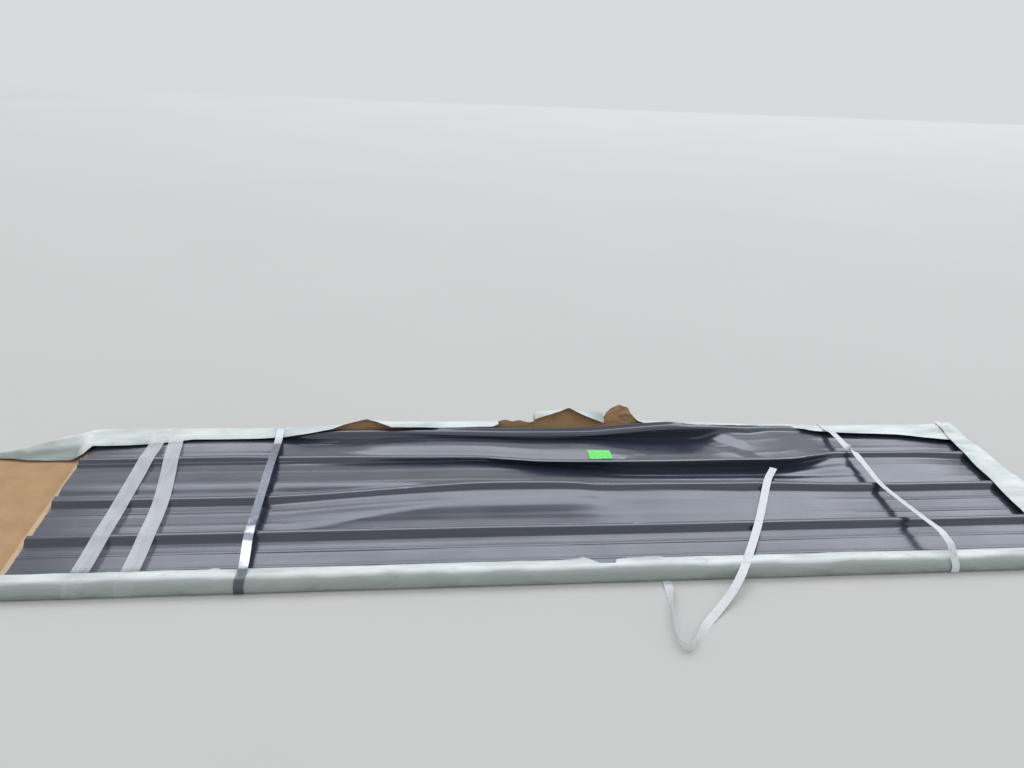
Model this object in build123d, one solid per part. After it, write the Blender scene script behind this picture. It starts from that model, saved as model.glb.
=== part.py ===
from build123d import *

import math
import os

# A thin bundle of ribbed steel roofing sheets lying flat, ribs up, in a torn paper wrap with straps and tape.
# Millimetres. X runs along the sheets, +Y to the far side, +Z up. The origin is on the underside, at the middle.

# One roofing sheet
SHEET_LENGTH = 3353.0
SHEET_THICKNESS = 0.45
RIB_COUNT = 5
RIB_PITCH = 228.6
RIB_HEIGHT = 19.0
RIB_TOP = 19.0
RIB_FOOT = 48.0
BEADS_PER_PAN = 2
BEAD_HEIGHT = 2.4
BEAD_TOP = 8.0
BEAD_FOOT = 20.0

# The stack
SHEET_COUNT = 15
STACK_STEP = 1.0
END_STAGGER = 2.0

# The paper wrap
PAPER = 1.2
PAPER_GAP = 0.3
WALL_GAP = 1.0
NEAR_LIP = 65.0
FAR_LIP = 56.0
LIP_CLEAR = 12.0
APRON_LENGTH = 330.0
APRON_WALL = 22.0
APRON_TURN_IN = 165.0
END_GAP = 8.0
END_FOLD_NEAR = 150.0
END_FOLD_FAR = 92.0
TEAR_START = 0.25
TEAR_END = 0.81
TORN_WALL = 30.0
FLAP_LEAN = 12.0

# Straps and tape
STRAP_THICKNESS = 0.8
STRAP_GAP = 0.3
GROOVE_GAP = 0.1
GROOVE_SIDE = 3.0
STEEL_WIDTH = 32.0
STEEL_FROM_LEFT = 648.5
SEAL_LENGTH = 12.0
SEAL_THICKNESS = 1.2
SEAL_HEIGHT = 9.0
WHITE_WIDTH = 25.4
SLACK_FROM_RIGHT = 561.5
TAPE_WIDTH = 50.0
TAPE_THICKNESS = 0.3
TAPE_FOOT = 6.0

# Each tape band's distance from the sheets' left end at the far wall, the middle rib and the near wall
TAPE_LEFT = (221.5, 214.5, 207.5)
TAPE_RIGHT = (284.5, 332.5, 343.5)

# The slack strap's arch from the far lip to the near one, as the share of the way from the middle rib to an edge
# rib and the height above the ribs' crests
SLACK_ARCH = [
    (0.875, 15.0),
    (0.70, 22.0),
    (0.475, 25.0),
    (0.22, 19.0),
    (-0.026, 14.0),
    (-0.29, 20.0),
    (-0.525, 31.0),
    (-0.72, 42.0),
    (-0.864, 45.0),
    (-0.973, 33.0),
]

# The broken strap's route from under the bundle to its cut end on the sheets, with its lean from flat at each point
BROKEN_ROUTE = [
    (201.0, -452.0, 0.4),
    (201.0, -486.0, 0.4),
    (196.0, -530.0, 7.0),
    (183.0, -590.0, 12.8),
    (170.0, -650.0, 12.8),
    (159.0, -710.0, 12.8),
    (153.0, -758.0, 12.8),
    (160.0, -785.0, 12.8),
    (178.0, -793.0, 12.6),
    (200.0, -772.0, 11.0),
    (225.0, -734.0, 8.0),
    (262.0, -684.0, 4.0),
    (318.0, -626.0, 8.0),
    (372.0, -572.0, 22.0),
    (420.0, -510.0, 36.0),
    (462.0, -440.0, 39.0),
    (520.0, -340.0, 38.0),
    (570.0, -250.0, 37.5),
    (632.0, -130.0, 43.0),
    (690.0, -14.0, 50.5),
    (712.0, 26.0, 50.5),
    (740.0, 68.0, 48.0),
    (764.0, 104.0, 46.0),
]
BROKEN_LEAN = [0, 0, 40, 85, 90, 90, 90, 90, 85, 70, 45, 20, 6, 0, 0, 0, 0, 0, 0, 0, 0, 0, 0]

# The label
LABEL_LENGTH = 82.0
LABEL_WIDTH = 42.0
LABEL_THICKNESS = 0.3
LABEL_GAP = 0.2
LABEL_SHARE = 0.5418
LABEL_FROM_RIB = 11.4

# Heights and edges that follow from the sizes above
BASE = PAPER + PAPER_GAP
PAN_TOP = BASE + (SHEET_COUNT - 1) * STACK_STEP + SHEET_THICKNESS
CREST_TOP = PAN_TOP + RIB_HEIGHT
HALF_LENGTH = SHEET_LENGTH / 2
EDGE_RIB = (RIB_COUNT - 1) / 2 * RIB_PITCH
HALF_WIDTH = EDGE_RIB + RIB_FOOT / 2
WALL = HALF_WIDTH + WALL_GAP
STEEL_X = STEEL_FROM_LEFT - HALF_LENGTH
SLACK_X = HALF_LENGTH - SLACK_FROM_RIGHT
LABEL_X = (LABEL_SHARE - 0.5) * SHEET_LENGTH
LABEL_Y = RIB_PITCH + LABEL_FROM_RIB

# The top sheet has buckled along its far half. Each row is a place as a share of the length, then for the middle
# rib, the rib beyond it and the far edge how far the sheet has risen and how far it has moved to the far side.
LEFT_RISE = 8.0
BUCKLE = [
    (0.00, (0, 0), (LEFT_RISE, 0), (0, 0)),
    (0.17, (0, 0), (LEFT_RISE, 0), (0, 0)),
    (0.185, (0, 0), (0, 0), (0, 0)),
    (0.20, (0, 0), (0, 0), (0, 0)),
    (0.26, (10, 3), (9, 0), (0, 0)),
    (0.30, (20, 6), (14, 0), (12, 0)),
    (0.36, (40, 12), (22, 0), (24, 0)),
    (0.40, (48, 14), (24, -4), (26, -8)),
    (0.46, (44, 14), (25, -12), (26, -30)),
    (0.52, (42, 14), (25, -34), (26, -52)),
    (0.58, (34, 10), (25, -46), (32, -60)),
    (0.65, (20, 5), (26, -52), (40, -60)),
    (0.70, (14, 4), (26, -50), (36, -44)),
    (0.735, (12, 4), (26, -48), (26, -32)),
    (0.78, (8, 2), (26, -38), (20, -8)),
    (0.805, (5, 0), (25, -8), (0, 0)),
    (0.84, (0, 0), (10, 0), (0, 0)),
    (0.87, (0, 0), (0, 0), (0, 0)),
    (1.00, (0, 0), (0, 0), (0, 0)),
]
FOOT_SHARE = 0.15

# Paper torn up along the far side: places as shares of the length, with heights above the torn wall
FLAPS = [
    [(0.25, 0), (0.29, 38), (0.315, 6), (0.315, 0)],
    [(0.315, 0), (0.315, 34), (0.37, 35), (0.438, 36), (0.432, 0)],
    [(0.438, 0), (0.450, 34), (0.464, 26), (0.480, 12), (0.480, 0)],
    [(0.481, 0), (0.481, 64), (0.518, 80), (0.562, 60), (0.564, 0)],
    [(0.566, 0), (0.570, 62), (0.588, 92), (0.601, 52), (0.612, 40), (0.626, 8), (0.626, 0)],
]


def right_normal(start, end):
    """The unit vector to the right of the run from start to end."""
    run, rise = end[0] - start[0], end[1] - start[1]
    length = math.hypot(run, rise)
    return rise / length, -run / length


def beside(points, distance):
    """A line that follows points on their right at a distance, with mitred corners."""
    normals = [right_normal(a, b) for a, b in zip(points, points[1:])]
    line = []
    for index, (across, up) in enumerate(points):
        before = normals[max(index - 1, 0)]
        after = normals[min(index, len(normals) - 1)]
        share = distance / (1 + before[0] * after[0] + before[1] * after[1])
        line.append((across + share * (before[0] + after[0]), up + share * (before[1] + after[1])))
    return line


def wall_outline(points, thickness):
    """The closed outline of a wall that follows points and has its thickness on their right."""
    return points + beside(points, thickness)[::-1]


def section_wire(outline, x):
    """An outline of (y, z) points as a wire across the bundle at x."""
    return Wire.make_polygon([(x, across, up) for across, up in outline], close=True)


def bar(outline, x_start, x_end):
    """A straight solid with the outline as its section."""
    return Solid.extrude(Face(section_wire(outline, x_start)), Vector(x_end - x_start, 0, 0))


def place_at(share):
    """The x of a share of the sheets' length."""
    return -HALF_LENGTH + share * SHEET_LENGTH


def raised(centre, foot, top, height):
    """The four corners of a rib or bead, from its near foot to its far foot."""
    return [
        (centre - foot / 2, 0.0),
        (centre - top / 2, height),
        (centre + top / 2, height),
        (centre + foot / 2, 0.0),
    ]


def rib_centres():
    return [index * RIB_PITCH - EDGE_RIB for index in range(RIB_COUNT)]


def sheet_line():
    """The upper side of a sheet's section, with its pans at height 0."""
    line = []
    for centre in rib_centres():
        line += raised(centre, RIB_FOOT, RIB_TOP, RIB_HEIGHT)
        if centre < EDGE_RIB:
            for bead in range(1, BEADS_PER_PAN + 1):
                line += raised(centre + bead * RIB_PITCH / (BEADS_PER_PAN + 1), BEAD_FOOT, BEAD_TOP, BEAD_HEIGHT)
    return line


def interpolated(value, nodes):
    """The (rise, shift) at value between nodes of (place, rise, shift)."""
    for (low, low_rise, low_shift), (high, high_rise, high_shift) in zip(nodes, nodes[1:]):
        if value <= high:
            share = max(value - low, 0.0) / (high - low)
            return low_rise + share * (high_rise - low_rise), low_shift + share * (high_shift - low_shift)
    return nodes[-1][1:]


def buckled_line(middle, beyond, edge):
    """The upper side of the top sheet's section where it has risen and moved by these amounts."""
    still = -RIB_PITCH + RIB_FOOT / 2
    nodes = [
        (still, 0.0, 0.0),
        (-RIB_TOP / 2, middle[0], middle[1]),
        (RIB_TOP / 2, middle[0], middle[1]),
        (RIB_PITCH - RIB_FOOT / 2, FOOT_SHARE * beyond[0], beyond[1]),
        (RIB_PITCH - RIB_TOP / 2, beyond[0], beyond[1]),
        (RIB_PITCH + RIB_FOOT / 2, beyond[0], beyond[1]),
        (EDGE_RIB - FAR_LIP - LIP_CLEAR, edge[0] / 2, edge[1]),
        (EDGE_RIB - RIB_FOOT / 2, edge[0] / 2, edge[1]),
        (EDGE_RIB - RIB_TOP / 2, edge[0], edge[1]),
        (HALF_WIDTH, edge[0], edge[1]),
    ]
    line = []
    for across, up in sheet_line():
        rise, shift = interpolated(across, nodes)
        line.append((across + shift, up + rise + PAN_TOP))
    return line


def make_top_sheet():
    wires = []
    for share, middle, beyond, edge in BUCKLE:
        outline = wall_outline(buckled_line(middle, beyond, edge), SHEET_THICKNESS)
        wires.append(section_wire(outline, place_at(share)))
    return Solid.make_loft(wires, ruled=True)


def buckle_at(share):
    """How far the top sheet has risen and moved at a share of its length, as a row of BUCKLE without its place."""
    for (low, *low_moves), (high, *high_moves) in zip(BUCKLE, BUCKLE[1:]):
        if share <= high:
            part = (share - low) / (high - low)
            return [
                tuple(a + part * (b - a) for a, b in zip(low_move, high_move))
                for low_move, high_move in zip(low_moves, high_moves)
            ]
    return BUCKLE[-1][1:]


def height_on(line, across):
    """The height of a section line at a place across the bundle."""
    for (start, start_up), (end, end_up) in zip(line, line[1:]):
        if start <= across <= end:
            return start_up + (across - start) / (end - start) * (end_up - start_up)
    return PAN_TOP


def make_lower_sheets():
    """The nested sheets below the top one, each a solid clear of the next, with their ends a little uneven."""
    sheets = []
    for layer in range(SHEET_COUNT - 1):
        height = PAN_TOP - (SHEET_COUNT - 1 - layer) * STACK_STEP
        line = [(across, up + height) for across, up in sheet_line()]
        slip = (layer % 3 - 1) * END_STAGGER
        outline = wall_outline(line, SHEET_THICKNESS)
        sheets.append(bar(outline, -HALF_LENGTH + slip, HALF_LENGTH + slip))
    return Compound(children=sheets)


def lip_line(side, width):
    """The inner side of the wrap over one edge rib, from the lip's edge to the foot of the wall."""
    return [
        (side * (EDGE_RIB - width), PAN_TOP + PAPER_GAP),
        (side * (EDGE_RIB - RIB_FOOT / 2 - WALL_GAP), PAN_TOP + PAPER_GAP),
        (side * (EDGE_RIB - RIB_TOP / 2 - WALL_GAP), CREST_TOP + PAPER_GAP),
        (side * (EDGE_RIB + RIB_TOP / 2 + WALL_GAP), CREST_TOP + PAPER_GAP),
        (side * WALL, PAN_TOP),
        (side * WALL, PAPER),
    ]


def closed_wrap_line():
    """The wrap's inner side where both lips lie over the edge ribs."""
    return lip_line(-1, NEAR_LIP) + lip_line(1, FAR_LIP)[::-1]


def torn_wrap_line():
    """The wrap's inner side where its far lip is torn and only a low wall stands."""
    return lip_line(-1, NEAR_LIP) + [(WALL, PAPER), (WALL, TORN_WALL)]


def apron_wrap_line():
    """The wrap's inner side past the sheets' left end, where its far side has fallen in."""
    return lip_line(-1, NEAR_LIP) + [
        (WALL, PAPER),
        (WALL, APRON_WALL),
        (WALL - APRON_TURN_IN / 2, APRON_WALL - PAPER),
        (WALL - APRON_TURN_IN, APRON_WALL / 2),
    ]


def skin(rings):
    """A closed solid of flat triangles through rings of corners, with its two ends capped."""
    faces = [Face(Wire.make_polygon(rings[0][::-1], close=True)), Face(Wire.make_polygon(rings[-1], close=True))]
    for near, far in zip(rings, rings[1:]):
        for index in range(len(near)):
            after = (index + 1) % len(near)
            faces.append(Face(Wire.make_polygon([near[index], near[after], far[after]], close=True)))
            faces.append(Face(Wire.make_polygon([near[index], far[after], far[index]], close=True)))
    return Solid(Shell(faces))


def torn_flap(corners):
    """One paper flap that stands on the torn wall and leans out."""
    lean = math.radians(FLAP_LEAN)
    plane = Plane(
        origin=(0, WALL, TORN_WALL - PAPER),
        x_dir=(1, 0, 0),
        z_dir=(0, -math.cos(lean), math.sin(lean)),
    )
    points = [plane.from_local_coords(Vector(place_at(share), height)) for share, height in corners]
    face = Face(Wire.make_polygon(points, close=True))
    return Solid.extrude(face, plane.z_dir * -PAPER)


def groove(x, width):
    """The shallow channel under the wrap in which a strap lies."""
    size = (width + GROOVE_SIDE, 2 * (WALL + PAPER) + GROOVE_SIDE, STRAP_THICKNESS + GROOVE_GAP)
    return Pos(x, 0, 0) * Box(*size, align=(Align.CENTER, Align.CENTER, Align.MIN))


def make_paper_wrap():
    sheet_end = -HALF_LENGTH - 2 * END_STAGGER
    apron = bar(wall_outline(apron_wrap_line(), PAPER), sheet_end - APRON_LENGTH, sheet_end)
    left = bar(wall_outline(closed_wrap_line(), PAPER), sheet_end, place_at(TEAR_START))
    torn = bar(wall_outline(torn_wrap_line(), PAPER), place_at(TEAR_START), place_at(TEAR_END))
    end = HALF_LENGTH + END_GAP
    right = bar(wall_outline(closed_wrap_line(), PAPER), place_at(TEAR_END), end)
    end_wall = bar(beside(closed_wrap_line(), PAPER), end, end + PAPER)
    reach = EDGE_RIB + RIB_TOP / 2
    fold_height = CREST_TOP + PAPER_GAP + PAPER
    fold_points = [
        (end + PAPER, -reach, fold_height),
        (end + PAPER, reach, fold_height),
        (end - END_FOLD_FAR, reach, fold_height),
        (end - END_FOLD_NEAR, -reach, fold_height),
    ]
    fold = Solid.extrude(Face(Wire.make_polygon(fold_points, close=True)), Vector(0, 0, PAPER))
    pieces = [left, torn, right, end_wall, fold] + [torn_flap(corners) for corners in FLAPS]
    wrap = apron.fuse(*pieces)
    for x, width in ((STEEL_X, STEEL_WIDTH), (SLACK_X, WHITE_WIDTH), (BROKEN_ROUTE[0][0], WHITE_WIDTH)):
        wrap = wrap.cut(groove(x, width))
    return wrap


def strap_side(side, gap):
    """A strap's inner line down one side of the wrapped bundle, from the edge rib's crest to the underside."""
    out = WALL + PAPER + gap
    crest = CREST_TOP + PAPER_GAP + PAPER + gap
    return [
        (side * (EDGE_RIB - RIB_TOP / 2 - WALL_GAP), crest),
        (side * (EDGE_RIB + RIB_TOP / 2 + WALL_GAP + PAPER), crest),
        (side * out, PAN_TOP + gap),
        (side * out, STRAP_THICKNESS),
    ]


def make_loop(x, width, thickness, top_line):
    """A strap right round the bundle, its ends meeting low on the near side."""
    out = WALL + PAPER + STRAP_GAP
    low = (-out, SEAL_HEIGHT - STRAP_GAP / 2)
    high = (-out, SEAL_HEIGHT + STRAP_GAP / 2)
    under = [(-out, STRAP_THICKNESS), (out, STRAP_THICKNESS)]
    far = strap_side(1, STRAP_GAP)[:-1][::-1]
    near = strap_side(-1, STRAP_GAP)[:-1]
    if top_line:
        near = near[1:]
    line = [low] + under + far + top_line + near + [high]
    return bar(wall_outline(line, thickness), x - width / 2, x + width / 2)


def make_steel_strap():
    return make_loop(STEEL_X, STEEL_WIDTH, STRAP_THICKNESS, [])


def make_slack_strap():
    arch = [(share * EDGE_RIB, CREST_TOP + rise) for share, rise in SLACK_ARCH]
    return make_loop(SLACK_X, WHITE_WIDTH, STRAP_THICKNESS, arch)


def make_strap_seal():
    """The crimped sleeve over the steel strap's ends."""
    out = WALL + PAPER + STRAP_GAP + STRAP_THICKNESS + STRAP_GAP / 3
    sleeve = Box(
        STEEL_WIDTH + 2 * SEAL_THICKNESS,
        SEAL_THICKNESS,
        SEAL_LENGTH,
        align=(Align.CENTER, Align.MAX, Align.CENTER),
    )
    return Pos(STEEL_X, -out, SEAL_HEIGHT) * sleeve


def make_tape(from_left):
    """A film tape band across the top from wall to wall, with a small change of direction at the middle rib."""
    x_far, x_middle, x_near = [distance - HALF_LENGTH for distance in from_left]
    far = strap_side(1, STRAP_GAP)[:-1][::-1]
    near = strap_side(-1, STRAP_GAP)[:-1]
    crest = far[-1][1]
    raised_rib = [(RIB_PITCH + RIB_TOP / 2, crest + LEFT_RISE), (RIB_PITCH - RIB_TOP / 2, crest + LEFT_RISE)]
    line = [(far[0][0], TAPE_FOOT)] + far + raised_rib + [(0.0, crest)] + near + [(near[-1][0], TAPE_FOOT)]
    outline_side = beside(line, TAPE_THICKNESS)
    reach = far[0][0]
    wires = []
    for inner, outer in zip(line, outline_side):
        across = inner[0]
        middle_share = 1 - abs(across) / reach
        x = x_middle * middle_share + (x_far if across > 0 else x_near) * (1 - middle_share)
        corners = [
            (x - TAPE_WIDTH / 2, inner[0], inner[1]),
            (x + TAPE_WIDTH / 2, inner[0], inner[1]),
            (x + TAPE_WIDTH / 2, outer[0], outer[1]),
            (x - TAPE_WIDTH / 2, outer[0], outer[1]),
        ]
        wires.append(Wire.make_polygon(corners, close=True))
    return Solid.make_loft(wires, ruled=True)


def make_broken_strap():
    """The cut strap, flat where it lies on the sheets and on edge where it turns on the ground."""
    points = [Vector(*point) for point in BROKEN_ROUTE]
    rings = []
    for index, point in enumerate(points):
        before = points[max(index - 1, 0)]
        after = points[min(index + 1, len(points) - 1)]
        run = (after - before).normalized()
        lean = math.radians(BROKEN_LEAN[index])
        level = Vector(-run.Y, run.X, 0).normalized()
        rise = run.cross(level)
        across = (level * math.cos(lean) + rise * math.sin(lean)).normalized() * (WHITE_WIDTH / 2)
        through = run.cross(across).normalized() * (STRAP_THICKNESS / 2)
        corners = [
            point - across - through,
            point - across + through,
            point + across + through,
            point + across - through,
        ]
        rings.append(corners)
    return skin(rings)


def make_label():
    """The sticker on the top sheet's pan beyond its raised rib, leaning on its near edge and the highest bend."""
    near, far = LABEL_Y - LABEL_WIDTH / 2, LABEL_Y + LABEL_WIDTH / 2
    slope = 0.0
    near_edge = []
    for x in (LABEL_X - LABEL_LENGTH / 2, LABEL_X + LABEL_LENGTH / 2):
        line = buckled_line(*buckle_at((x + HALF_LENGTH) / SHEET_LENGTH))
        near_up = height_on(line, near)
        near_edge.append(Vector(x, near, near_up + LABEL_GAP))
        bends = [(across, up) for across, up in line if near < across < far] + [(far, height_on(line, far))]
        slope = max([slope] + [(up - near_up) / (across - near) for across, up in bends])
    across_label = Vector(0, LABEL_WIDTH, slope * LABEL_WIDTH)
    far_edge = [corner + across_label for corner in near_edge]
    face = Face(Wire.make_polygon(near_edge + far_edge[::-1], close=True))
    return Solid.extrude(face, Vector(0, 0, LABEL_THICKNESS))


def build_all():
    return {
        "top_sheet": make_top_sheet(),
        "lower_sheets": make_lower_sheets(),
        "paper_wrap": make_paper_wrap(),
        "tape_band_left": make_tape(TAPE_LEFT),
        "tape_band_right": make_tape(TAPE_RIGHT),
        "steel_strap": make_steel_strap(),
        "strap_seal": make_strap_seal(),
        "slack_strap": make_slack_strap(),
        "broken_strap": make_broken_strap(),
        "label": make_label(),
    }


os.makedirs("parts", exist_ok=True)
for name, solid in build_all().items():
    export_step(solid, f"parts/{name}.step")
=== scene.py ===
"""The looks of a strapped bundle of ribbed roofing sheets in a torn paper wrap.

Lengths are millimetres until a piece is finished, when its mesh is made metres. X runs along the sheets,
+Y to the far side and +Z up, with the origin on the underside at the middle, as in the frame.
"""

import logging
import math
from collections.abc import Callable, Sequence
from dataclasses import dataclass
from enum import Enum
from functools import partial

import bmesh
import bpy
from mathutils import Matrix, Vector, noise


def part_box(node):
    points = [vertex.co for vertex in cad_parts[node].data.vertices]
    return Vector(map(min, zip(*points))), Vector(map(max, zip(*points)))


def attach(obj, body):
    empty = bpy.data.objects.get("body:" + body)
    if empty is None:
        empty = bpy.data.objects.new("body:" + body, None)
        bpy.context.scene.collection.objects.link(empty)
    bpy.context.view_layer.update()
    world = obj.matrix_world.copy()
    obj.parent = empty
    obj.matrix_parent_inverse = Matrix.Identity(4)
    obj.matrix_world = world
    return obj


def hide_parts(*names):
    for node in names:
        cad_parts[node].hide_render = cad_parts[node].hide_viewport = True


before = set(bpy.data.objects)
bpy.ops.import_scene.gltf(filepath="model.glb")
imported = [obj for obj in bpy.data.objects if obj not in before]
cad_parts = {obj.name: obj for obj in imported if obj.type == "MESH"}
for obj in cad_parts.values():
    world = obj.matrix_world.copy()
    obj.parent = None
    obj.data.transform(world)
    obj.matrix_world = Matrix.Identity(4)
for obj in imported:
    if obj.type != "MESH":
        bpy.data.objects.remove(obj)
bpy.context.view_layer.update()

LOG = logging.getLogger("bundle")
MM = 0.001
BODY = "root"

Point = tuple[float, float]
Shape = Callable[[float, float], Vector]
Inputs = dict[str | int, object]
Outputs = bpy.types.NodeOutputs
Adder = Callable[..., Outputs]
Tree = bpy.types.NodeTree
Socket = bpy.types.NodeSocket
Material = bpy.types.Material
Piece = bpy.types.Object
Mesh = bmesh.types.BMesh

# Where the closed straps cross the bundle, how high they run under it, and the top of that run
STEEL_STRAP_X = -1028.0
SLACK_STRAP_X = 1115.0
UNDER_STRAP = 0.42
UNDERSIDE_TOP = 1.5

# The sockets of a Mix node that mixes colours: its factor, its two colours and its result
MIX_BY, MIX_A, MIX_B, MIXED = 0, 6, 7, 2


class Slot(Enum):
    """The names of the material slots."""

    SHEET = "sheet_paint"
    WRAP = "wrap_paper"
    TAPE = "film_tape"
    STEEL = "strap_steel"
    SEAL = "seal_steel"
    WHITE = "white_strap"
    LABEL = "label_paper"


class Flow(Enum):
    """How a track runs between its stops."""

    STRAIGHT = "straight"
    SMOOTH = "smooth"


class Kind(Enum):
    """The types of shader node in use."""

    BACKGROUND = "ShaderNodeBackground"
    BUMP = "ShaderNodeBump"
    COORDS = "ShaderNodeTexCoord"
    LIGHT_PATH = "ShaderNodeLightPath"
    MAPPING = "ShaderNodeMapping"
    MATH = "ShaderNodeMath"
    MIX = "ShaderNodeMix"
    MIX_SHADER = "ShaderNodeMixShader"
    NOISE = "ShaderNodeTexNoise"
    RANGE = "ShaderNodeMapRange"
    SPLIT = "ShaderNodeSeparateXYZ"
    VECTOR_MATH = "ShaderNodeVectorMath"
    VORONOI = "ShaderNodeTexVoronoi"
    WORLD = "ShaderNodeOutputWorld"


def ease(share: float) -> float:
    """Returns a share from 0 to 1 with a soft start and end."""
    held = min(max(share, 0.0), 1.0)
    return held * held * (3.0 - 2.0 * held)


def between(low: float, high: float, value: float) -> float:
    """Returns how far value is on its way from low to high, softly, from 0 to 1."""
    return ease((value - low) / (high - low))


def hump(value: float, centre: float, reach: float) -> float:
    """Returns 1 at the centre and 0 beyond the reach, softly."""
    return ease(1.0 - abs(value - centre) / reach)


def rough(x: float, y: float, z: float, size: float) -> float:
    """Returns smooth noise from about -1 to 1 whose bumps are about size millimetres across."""
    return noise.noise(Vector((x, y, z)) / size)


def creased(x: float, y: float, z: float, size: float) -> float:
    """Returns noise from 0 to about 1 with sharp ridges, as in crumpled paper or thin metal."""
    return 1.0 - min(abs(noise.noise(Vector((x, y, z)) / size)) * 2.6, 1.0)


@dataclass(frozen=True)
class Track:
    """A value that changes along a line between chosen stops."""

    stops: tuple[Point, ...]
    flow: Flow = Flow.SMOOTH

    def slope(self, index: int) -> float:
        """Returns the slope of a smooth track at a stop."""
        low, high = max(index - 1, 0), min(index + 1, len(self.stops) - 1)
        return (self.stops[high][1] - self.stops[low][1]) / (self.stops[high][0] - self.stops[low][0])

    def at(self, place: float) -> float:
        """Gives the value at a place.

        Args:
            place: Where on the line, in the units of the stops.

        Returns:
            The value there, held beyond the first and last stops.
        """
        if place <= self.stops[0][0]:
            return self.stops[0][1]
        for index, ((low, start), (high, end)) in enumerate(zip(self.stops, self.stops[1:])):
            if place > high:
                continue
            run = high - low
            t = (place - low) / run
            if self.flow is Flow.STRAIGHT:
                return start + t * (end - start)
            lean_in = self.slope(index) * run
            lean_out = self.slope(index + 1) * run
            return (
                (2 * t**3 - 3 * t**2 + 1) * start
                + (t**3 - 2 * t**2 + t) * lean_in
                + (3 * t**2 - 2 * t**3) * end
                + (t**3 - t**2) * lean_out
            )
        return self.stops[-1][1]


def on_line(points: Sequence[Point], place: float) -> Vector:
    """Gives a point on a smooth curve through points, which doesn't overshoot between uneven ones.

    Args:
        points: The points that the curve goes through.
        place: Which point, with fractions between neighbours.

    Returns:
        The point at that place.
    """
    index = min(int(place), len(points) - 2)
    t = place - index
    ends = [Vector(points[index]), Vector(points[index + 1])]
    leans = []
    for number, here in zip((index, index + 1), ends):
        before = Vector(points[max(number - 1, 0)])
        after = Vector(points[min(number + 1, len(points) - 1)])
        run = (after - before) / 2
        reach = min((after - here).length, (here - before).length)
        leans.append(run.normalized() * min(run.length, reach) if reach else run)
    return (
        (2 * t**3 - 3 * t**2 + 1) * ends[0]
        + (t**3 - 2 * t**2 + t) * leans[0]
        + (3 * t**2 - 2 * t**3) * ends[1]
        + (t**3 - t**2) * leans[1]
    )


def even_line(points: Sequence[Sequence[float]], spacing: float) -> list[Vector]:
    """Gives evenly spaced points on the smooth curve through some points.

    Args:
        points: The points that the curve goes through.
        spacing: About how far apart the found points are.

    Returns:
        The found points, from the first given point to the last.
    """
    found = []
    for index, (start, end) in enumerate(zip(points, points[1:])):
        cells = max(2, math.ceil((Vector(end) - Vector(start)).length / spacing))
        found += [on_line(points, index + cell / cells) for cell in range(cells)]
    return [*found, Vector(points[-1])]


def route_points(points: Sequence[Vector], divisions: int) -> list[Vector]:
    """Reads points along the smooth NURBS line of a route.

    Args:
        points: The route's control points.
        divisions: How many points each stretch gets.

    Returns:
        The points that the line goes through, from its start to its end.
    """
    data = bpy.data.curves.new("route", "CURVE")
    data.dimensions = "3D"
    spline = data.splines.new("NURBS")
    spline.points.add(len(points) - 1)
    for node, point in zip(spline.points, points):
        node.co = (*point, 1.0)
    spline.order_u = 3
    spline.use_endpoint_u = True
    spline.resolution_u = divisions
    holder = bpy.data.objects.new("route", data)
    line = bpy.data.meshes.new_from_object(holder)
    found = [vertex.co.copy() for vertex in line.vertices]
    bpy.data.objects.remove(holder)
    bpy.data.curves.remove(data)
    bpy.data.meshes.remove(line)
    return found


def finish_piece(
    bm: Mesh,
    name: str,
    materials: Sequence[Material],
    slot: Slot,
    thickness: float = 0.0,
    offset: float = 0.0,
    sharp_angle: float = 40.0,
    replaced: Sequence[str] = (),
    unit: float = MM,
) -> Piece:
    """Makes a mesh into a finished piece that rides on the bundle.

    Args:
        bm: The modelled mesh, which this frees.
        name: The piece's name.
        materials: Its materials. A second one goes on the inner side of a wall.
        slot: The piece's material slot, which is not used.
        thickness: The wall to give an open sheet, or 0 to leave it.
        offset: Where the wall lies, from -1 below the surface to 1 above it.
        sharp_angle: The least angle, in degrees, of an edge that stays crisp.
        replaced: The nodes that the piece stands for.
        unit: What one unit of the mesh is, in metres.

    Returns:
        The finished object, at the origin.
    """
    bmesh.ops.scale(bm, vec=(unit, unit, unit), verts=bm.verts)
    mesh = bpy.data.meshes.new(name)
    bm.to_mesh(mesh)
    bm.free()
    piece = bpy.data.objects.new(name, mesh)
    bpy.context.scene.collection.objects.link(piece)
    for material in materials:
        mesh.materials.append(material)
    if thickness:
        wall = piece.modifiers.new("wall", "SOLIDIFY")
        wall.thickness = thickness * MM
        wall.offset = offset
        wall.use_even_offset = False
        wall.material_offset = len(materials) - 1
        bpy.context.view_layer.update()
        made = piece.evaluated_get(bpy.context.evaluated_depsgraph_get())
        walled = bpy.data.meshes.new_from_object(made)
        piece.modifiers.clear()
        piece.data = walled
        bpy.data.meshes.remove(mesh)
        walled.name = name
    piece.data.shade_smooth()
    piece.data.set_sharp_from_angle(angle=math.radians(sharp_angle))
    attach(piece, BODY)
    if replaced:
        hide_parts(*replaced)
    return piece


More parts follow.
